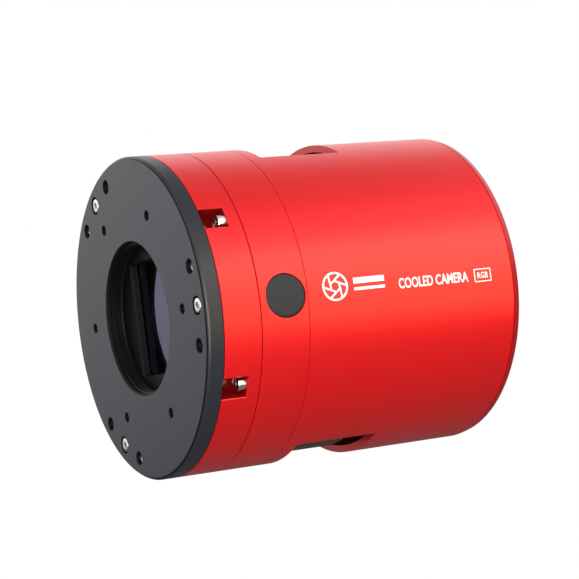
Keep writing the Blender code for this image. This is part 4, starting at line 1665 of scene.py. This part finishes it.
@dataclass
class Rear:
    """Rear cover with grille, cover screws, board and sockets."""

    radius: float = 42.6
    y0: float = 94.3
    y1: float = 97.0
    port_z: float = -23.0
    data_x: float = -8.0
    hub_x: tuple[float, float] = (8.5, 20.5)
    power_x: float = -25.0
    grille_z: float = 12.0
    grille_r: float = 21.0
    grille_pitch: float = 4.6

    def build(self, looks: Finishes, copies: CopyTree) -> None:
        """Build everything at the rear.

        Args:
            looks: finishes.
            copies: tree that places slots and screws.
        """
        self.cover(looks)
        self.cover_screws(looks, copies)
        self.board(looks, copies)
        self.sockets(looks)

    def cover(self, looks: Finishes) -> None:
        """Build the cover with its cut-outs."""
        r, y0, y1 = self.radius, self.y0, self.y1
        profile = [(0.0, y0), (r - 0.2, y0), (r, y0 + 0.2), (r, y1 - 0.45), (r - 0.45, y1), (0.0, y1)]
        cover = Shape().turn(profile, 240).done("rear_cover_look", looks.red)
        for k in range(-4, 5):
            off = self.grille_pitch * k
            half = math.sqrt(self.grille_r**2 - off**2)
            self.cut_slot(cover, round_rect(2 * half, 2.8, 1.38, 8, 0.0, self.grille_z + off))
        tool = Shape()
        hole = [(0.0, 93.0), (1.6, 93.0), (1.6, 95.4), (2.8, 95.4), (2.8, 96.85)]
        hole += [(2.95, y1), (2.95, 98.0), (0.0, 98.0)]
        for a in COVER_SCREWS:
            tool.turn(hole, 48, at(*polar(COVER_CIRCLE, a)))
        hole = [(0.0, 93.0), (5.3, 93.0), (5.3, 96.8), (5.5, y1), (5.5, 98.0), (0.0, 98.0)]
        tool.turn(hole, 64, at(self.power_x, self.port_z))
        combine(cover, tool, Way.CUT)
        self.cut_slot(cover, round_rect(12.8, 12.0, 0.6, 4, self.data_x, self.port_z))
        for x in self.hub_x:
            self.cut_slot(cover, round_rect(7.8, 15.2, 0.5, 4, x, self.port_z))
        true_round(cover, (self.radius,))
        fit(cover, Body.CAMERA, "red_anodised", ["rear_cover"])

    def cut_slot(self, cover: Object, line: Line) -> None:
        """Cut one opening with a chamfered outer edge."""
        edge = 0.18
        wide = shrink(line, -edge)
        rows = [(line, self.y0 - 1), (line, self.y1 - edge), (wide, self.y1), (wide, self.y1 + 1)]
        combine(cover, Shape().prism(rows), Way.CUT)

    def cover_screws(self, looks: Finishes, copies: CopyTree) -> None:
        """Build the four round-headed screws of the cover."""
        profile: list[tuple[Radius, float]] = [
            (0.0, 96.1),
            (hexagon(0.8), 96.2),
            (hexagon(0.8), 96.98),
            (1.7, 97.0),
            (2.2, 96.85),
            (2.4, 96.5),
            (2.4, 95.7),
            (1.25, 95.7),
        ]
        profile += thread_rows(1.25, -0.2, 0.45, 95.4, 87.4, 4)
        profile += [(0.9, 87.0), (0.0, 87.0)]
        screw = Shape().turn(profile, 48).done("screw", None, 35.0)
        points = around(COVER_CIRCLE, COVER_SCREWS)
        ob = copies.spread("cover_screws_look", screw, points, looks.dark_steel)
        fit(ob, Body.CAMERA, "bright_steel", numbered("cover_screw", 4))

    def board(self, looks: Finishes, copies: CopyTree) -> None:
        """Build the main board with its chips and small parts."""
        start = math.degrees(math.asin(-9.0 / 41.5))
        line = [polar(41.5, start - (180.0 + 2.0 * start) * k / 60) for k in range(61)]
        board = Shape().plate(line, 79.0, 80.7, 0.08).done("board", looks.board)
        chips = Shape()
        for x, z, w, h in ((-2.0, -14.0, 9.0, 5.5), (14.0, -13.5, 6.0, 6.0), (-18.0, -13.5, 5.0, 5.0)):
            chips.plate(round_rect(w, h, 0.3, 2, x, z), 78.0, 79.05, 0.12)
            chips.plate(round_rect(w * 0.7, h * 0.8, 0.3, 2, x + 1.0, z - 11.0), 78.1, 79.05, 0.1)
        black = chips.done("chips", looks.chip)
        bit = Shape().plate(round_rect(1.0, 0.5, 0.08, 2), -0.45, 0.05, 0.05).done("bit", None)
        spots = []
        for i in range(60):
            x = -26.0 + 52.0 * ((i * 37) % 60) / 60
            z = -11.0 - 22.0 * ((i * 23) % 31) / 31
            if x * x + z * z < 39.0**2:
                spots.append((x, 79.0, z))
        bits = copies.spread("bits", bit, spots, looks.ceramic, vary=0.4)
        fit(merge("main_board_look", [board, black, bits]), Body.CAMERA, "circuit_board", ["main_board"])

    def shell(
        self, name: str, looks_mat: Material, x: float, w: float, h: float, wall: float
    ) -> Object:
        """Build a square socket shell open at the rear.

        Args:
            name: object name.
            looks_mat: material.
            x: place of its centre, mm.
            w: width, mm.
            h: height, mm.
            wall: wall thickness, mm.

        Returns:
            The shell.
        """
        z = self.port_z
        body = Shape().plate(round_rect(w, h, 0.5, 4, x, z), 81.0, self.y1, 0.1).done(name, looks_mat)
        line = round_rect(w - 2 * wall, h - 2 * wall, 0.3, 4, x, z)
        combine(body, Shape().prism([(line, 86.0), (line, 98.0)]), Way.CUT)
        return body

    def sockets(self, looks: Finishes) -> None:
        """Build the data, hub and power sockets."""
        z = self.port_z
        data = self.shell("data", looks.shell, self.data_x, 12.2, 11.4, 0.5)
        line = round_rect(11.1, 10.3, 0.3, 3, self.data_x, z)
        core = Shape().plate(line, 85.5, 95.6, 0.1).done("core", looks.blue)
        line = [(-12.2, z - 4.4), (-3.8, z - 4.4), (-3.8, z + 1.9), (-5.2, z + 3.4), (-5.6, z + 4.7)]
        line += [(-10.4, z + 4.7), (-10.8, z + 3.4), (-12.2, z + 1.9)]
        combine(core, Shape().prism([(line, 87.0), (line, 98.0)]), Way.CUT)
        tongue = Shape().plate(round_rect(5.6, 3.0, 0.25, 3, self.data_x, z - 0.7), 86.0, 94.8, 0.15)
        tongue_ob = tongue.done("tongue", looks.blue)
        pins = Shape()
        for k in range(4):
            x = -10.0 + 4.0 * k / 3
            for zz in (z + 0.78, z - 2.22):
                pins.plate(rect(x - 0.35, x + 0.35, zz - 0.08, zz + 0.08), 87.0, 93.9, 0.02)
        gold = pins.done("pins", looks.gold)
        ob = merge("data_socket_look", [data, core, tongue_ob, gold])
        fit(ob, Body.CAMERA, "socket_blue", ["data_socket"])
        for i, x in enumerate(self.hub_x):
            case = self.shell(f"hub{i}", looks.shell, x, 7.2, 14.6, 0.35)
            line = round_rect(1.8, 11.0, 0.2, 3, x - 1.3, z)
            lip = Shape().plate(line, 85.0, 94.8, 0.12).done("lip", looks.socket)
            line = round_rect(6.4, 13.8, 0.3, 3, x, z)
            back = Shape().plate(line, 85.9, 87.6, 0.05).done("back", looks.socket)
            pins = Shape()
            for k in range(4):
                zz = z - 3.75 + 2.5 * k
                pins.plate(rect(x - 0.42, x - 0.28, zz - 0.5, zz + 0.5), 87.4, 93.9, 0.02)
            gold = pins.done("pins", looks.gold)
            ob = merge(f"hub_socket_{i + 1}_look", [case, lip, back, gold])
            fit(ob, Body.CAMERA, "socket_shell", [f"hub_socket_{i + 1}"])
        profile = [(0.0, 81.0), (5.0, 81.0), (5.0, 96.7), (4.7, 97.0), (3.5, 97.0)]
        profile += [(3.2, 96.7), (3.2, 86.0), (0.0, 86.0)]
        ring = Shape().turn(profile, 64, at(self.power_x, z)).done("power", looks.socket)
        profile = [(0.0, 85.5), (1.0, 85.5), (1.0, 94.6), (0.7, 95.0), (0.0, 95.0)]
        pin = Shape().turn(profile, 32, at(self.power_x, z))
        fit(
            merge("power_socket_look", [ring, pin.done("pin", looks.shell)]),
            Body.CAMERA,
            "socket_black",
            ["power_socket"],
        )


# ------------------------------------------------------------------- kept nodes and set


def dress_kept(frame: dict, looks: Finishes) -> None:
    """Give the kept CAD nodes their finishes.

    Args:
        looks: finishes.
    """
    kept = {
        "window_seal": looks.rubber,
        "chamber_seal": looks.rubber,
        "heater_film": looks.heater,
        "sensor_cover_glass": looks.cover_glass,
        "sensor_die": looks.die,
        "sensor_board": looks.board,
        "cold_finger": looks.copper,
        "thermoelectric_cooler": looks.ceramic,
        "insulation_ring": looks.foam,
    }
    for name, mat in kept.items():
        ob = frame["nodes"][name]
        ob.data.materials.clear()
        ob.data.materials.append(mat)
        log.info("%s: kept, %s", name, mat.name)


@dataclass
class Studio:
    """Pale floor, soft lights and the camera."""

    floor_gap: float = 320.0
    low: float = 0.09
    high: float = 1.15
    front: float = 0.7
    above: float = 0.3
    bounce: float = 0.15

    def build(self) -> None:
        """Build floor, world, lights and camera."""
        self.floor(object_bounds()[0][2] - self.floor_gap * MM)
        self.sky()
        warm = (1.0, 0.74, 0.42)
        white = (1.0, 1.0, 1.0)
        self.light("side", (0.66, 0.48, 0.1), (0.0, 0.05, 0.0), (0.5, 0.76), 3.3, warm)
        self.light("fill", (0.72, -0.42, -0.08), (0.0, 0.03, 0.0), (0.6, 0.6), 8.6, white)
        self.camera()

    def floor(self, z: float) -> None:
        """Build the floor at a height in metres.

        Args:
            z: height of the floor.
        """
        mesh = bpy.data.meshes.new("floor")
        mesh.from_pydata([(-6, -6, z), (6, -6, z), (6, 6, z), (-6, 6, z)], [], [(0, 1, 2, 3)])
        ob = bpy.data.objects.new("floor", mesh)
        bpy.context.scene.collection.objects.link(ob)
        n = Nodes("floor_look")
        n.put(Base_Color=rgba((self.bounce,) * 3), Roughness=0.9, Specular_IOR_Level=0.1)
        seen = n.add("Emission", Strength=1.0)
        path = n.add("LightPath")
        mix = n.add("MixShader")
        n.link(path.outputs["Is Camera Ray"], mix.inputs["Fac"])
        n.link(n.bsdf.outputs[0], mix.inputs[1])
        n.link(seen.outputs[0], mix.inputs[2])
        n.link(mix.outputs[0], n.out.inputs["Surface"])
        mesh.materials.append(n.mat)
        ob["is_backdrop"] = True

    def sky(self) -> None:
        """White surroundings that light the object more from above than from the front."""
        world = bpy.data.worlds.new("studio")
        bpy.context.scene.world = world
        world.use_nodes = True
        tree = world.node_tree
        back = tree.nodes["Background"]
        link = tree.links.new
        coords = tree.nodes.new("ShaderNodeTexCoord")
        axes = tree.nodes.new("ShaderNodeSeparateXYZ")
        link(coords.outputs["Generated"], axes.inputs[0])
        height = self.graded(tree, axes.outputs["Z"], (0.0, 0.32), (self.low, self.high))
        ahead = tree.nodes.new("ShaderNodeVectorMath")
        ahead.operation = "DOT_PRODUCT"
        ahead.inputs[1].default_value = (-0.93, -0.37, 0.0)
        link(coords.outputs["Generated"], ahead.inputs[0])
        front = self.graded(tree, ahead.outputs["Value"], (0.6, 0.95), (0.0, self.front))
        above = self.graded(tree, axes.outputs["Z"], (0.62, 0.9), (1.0, self.above))
        whole = tree.nodes.new("ShaderNodeMath")
        whole.operation = "MULTIPLY_ADD"
        link(height, whole.inputs[0])
        link(above, whole.inputs[1])
        link(front, whole.inputs[2])
        path = tree.nodes.new("ShaderNodeLightPath")
        pick = tree.nodes.new("ShaderNodeMapRange")
        link(path.outputs["Is Camera Ray"], pick.inputs["Value"])
        link(whole.outputs[0], pick.inputs["To Min"])
        pick.inputs["To Max"].default_value = 1.0
        link(pick.outputs["Result"], back.inputs["Strength"])
        back.inputs["Color"].default_value = (1.0, 1.0, 1.0, 1.0)

    def graded(
        self,
        tree: bpy.types.NodeTree,
        value: Socket,
        span: tuple[float, float],
        out: tuple[float, float],
    ) -> Socket:
        """Smooth step of a value.

        Args:
            tree: node tree that takes the node.
            value: value that is mapped.
            span: values where the step starts and ends.
            out: results before and after the step.

        Returns:
            The result socket.
        """
        node = tree.nodes.new("ShaderNodeMapRange")
        node.interpolation_type = "SMOOTHSTEP"
        node.inputs["From Min"].default_value = span[0]
        node.inputs["From Max"].default_value = span[1]
        node.inputs["To Min"].default_value = out[0]
        node.inputs["To Max"].default_value = out[1]
        tree.links.new(value, node.inputs["Value"])
        return node.outputs["Result"]

    def light(
        self,
        name: str,
        place: tuple[float, float, float],
        target: tuple[float, float, float],
        size: tuple[float, float],
        power: float,
        colour: tuple[float, float, float],
    ) -> None:
        """Add a soft rectangular light.

        Args:
            name: name of the light.
            place: position, metres.
            target: point that it faces, metres.
            size: width and height, metres.
            power: power, watts.
            colour: colour of the light.
        """
        data = bpy.data.lights.new(name, "AREA")
        data.shape = "RECTANGLE"
        data.size, data.size_y = size
        data.energy = power
        data.color = colour
        ob = bpy.data.objects.new(name, data)
        bpy.context.scene.collection.objects.link(ob)
        ob.location = place
        ob.rotation_euler = (Vector(target) - Vector(place)).to_track_quat("-Z", "Y").to_euler()

    def camera(self) -> None:
        """Camera below the optical axis, looking at the front and the right side."""
        data = bpy.data.cameras.new("view")
        ob = bpy.data.objects.new("view", data)
        bpy.context.scene.collection.objects.link(ob)
        data.sensor_width = 36.0
        data.lens = 112.63
        data.shift_x = 0.0222
        data.shift_y = 0.0256
        data.clip_start = 0.01
        forward = Vector((-0.88527, 0.46324, 0.04130)).normalized()
        up = Vector((0.0951, 0.0934, 0.9911))
        right = forward.cross(up).normalized()
        up = right.cross(forward).normalized()
        turn = Matrix((right, up, -forward)).transposed().to_4x4()
        ob.matrix_world = Matrix.Translation((0.46327, -0.19827, -0.02162)) @ turn
        bpy.context.scene.camera = ob
        bpy.context.scene.view_settings.view_transform = "Standard"
        bpy.context.scene.view_settings.look = "None"


def main() -> None:
    """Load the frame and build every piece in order."""
    logging.basicConfig(level=logging.INFO, format="%(name)s: %(message)s")
    for ob in list(bpy.data.objects):
        bpy.data.objects.remove(ob, do_unlink=True)
    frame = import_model()
    looks = Finishes()
    copies = CopyTree()
    TiltPlate().build(looks, copies)
    FrontRing().build(looks, copies)
    MiddleRing().build(looks)
    Barrel().build(looks)
    Throat().build(looks)
    HeatSink().build(looks, copies)
    Fan().build(looks, copies)
    Rear().build(looks, copies)
    dress_kept(frame, looks)
    Studio().build()


if __name__ == "__main__":
    main()
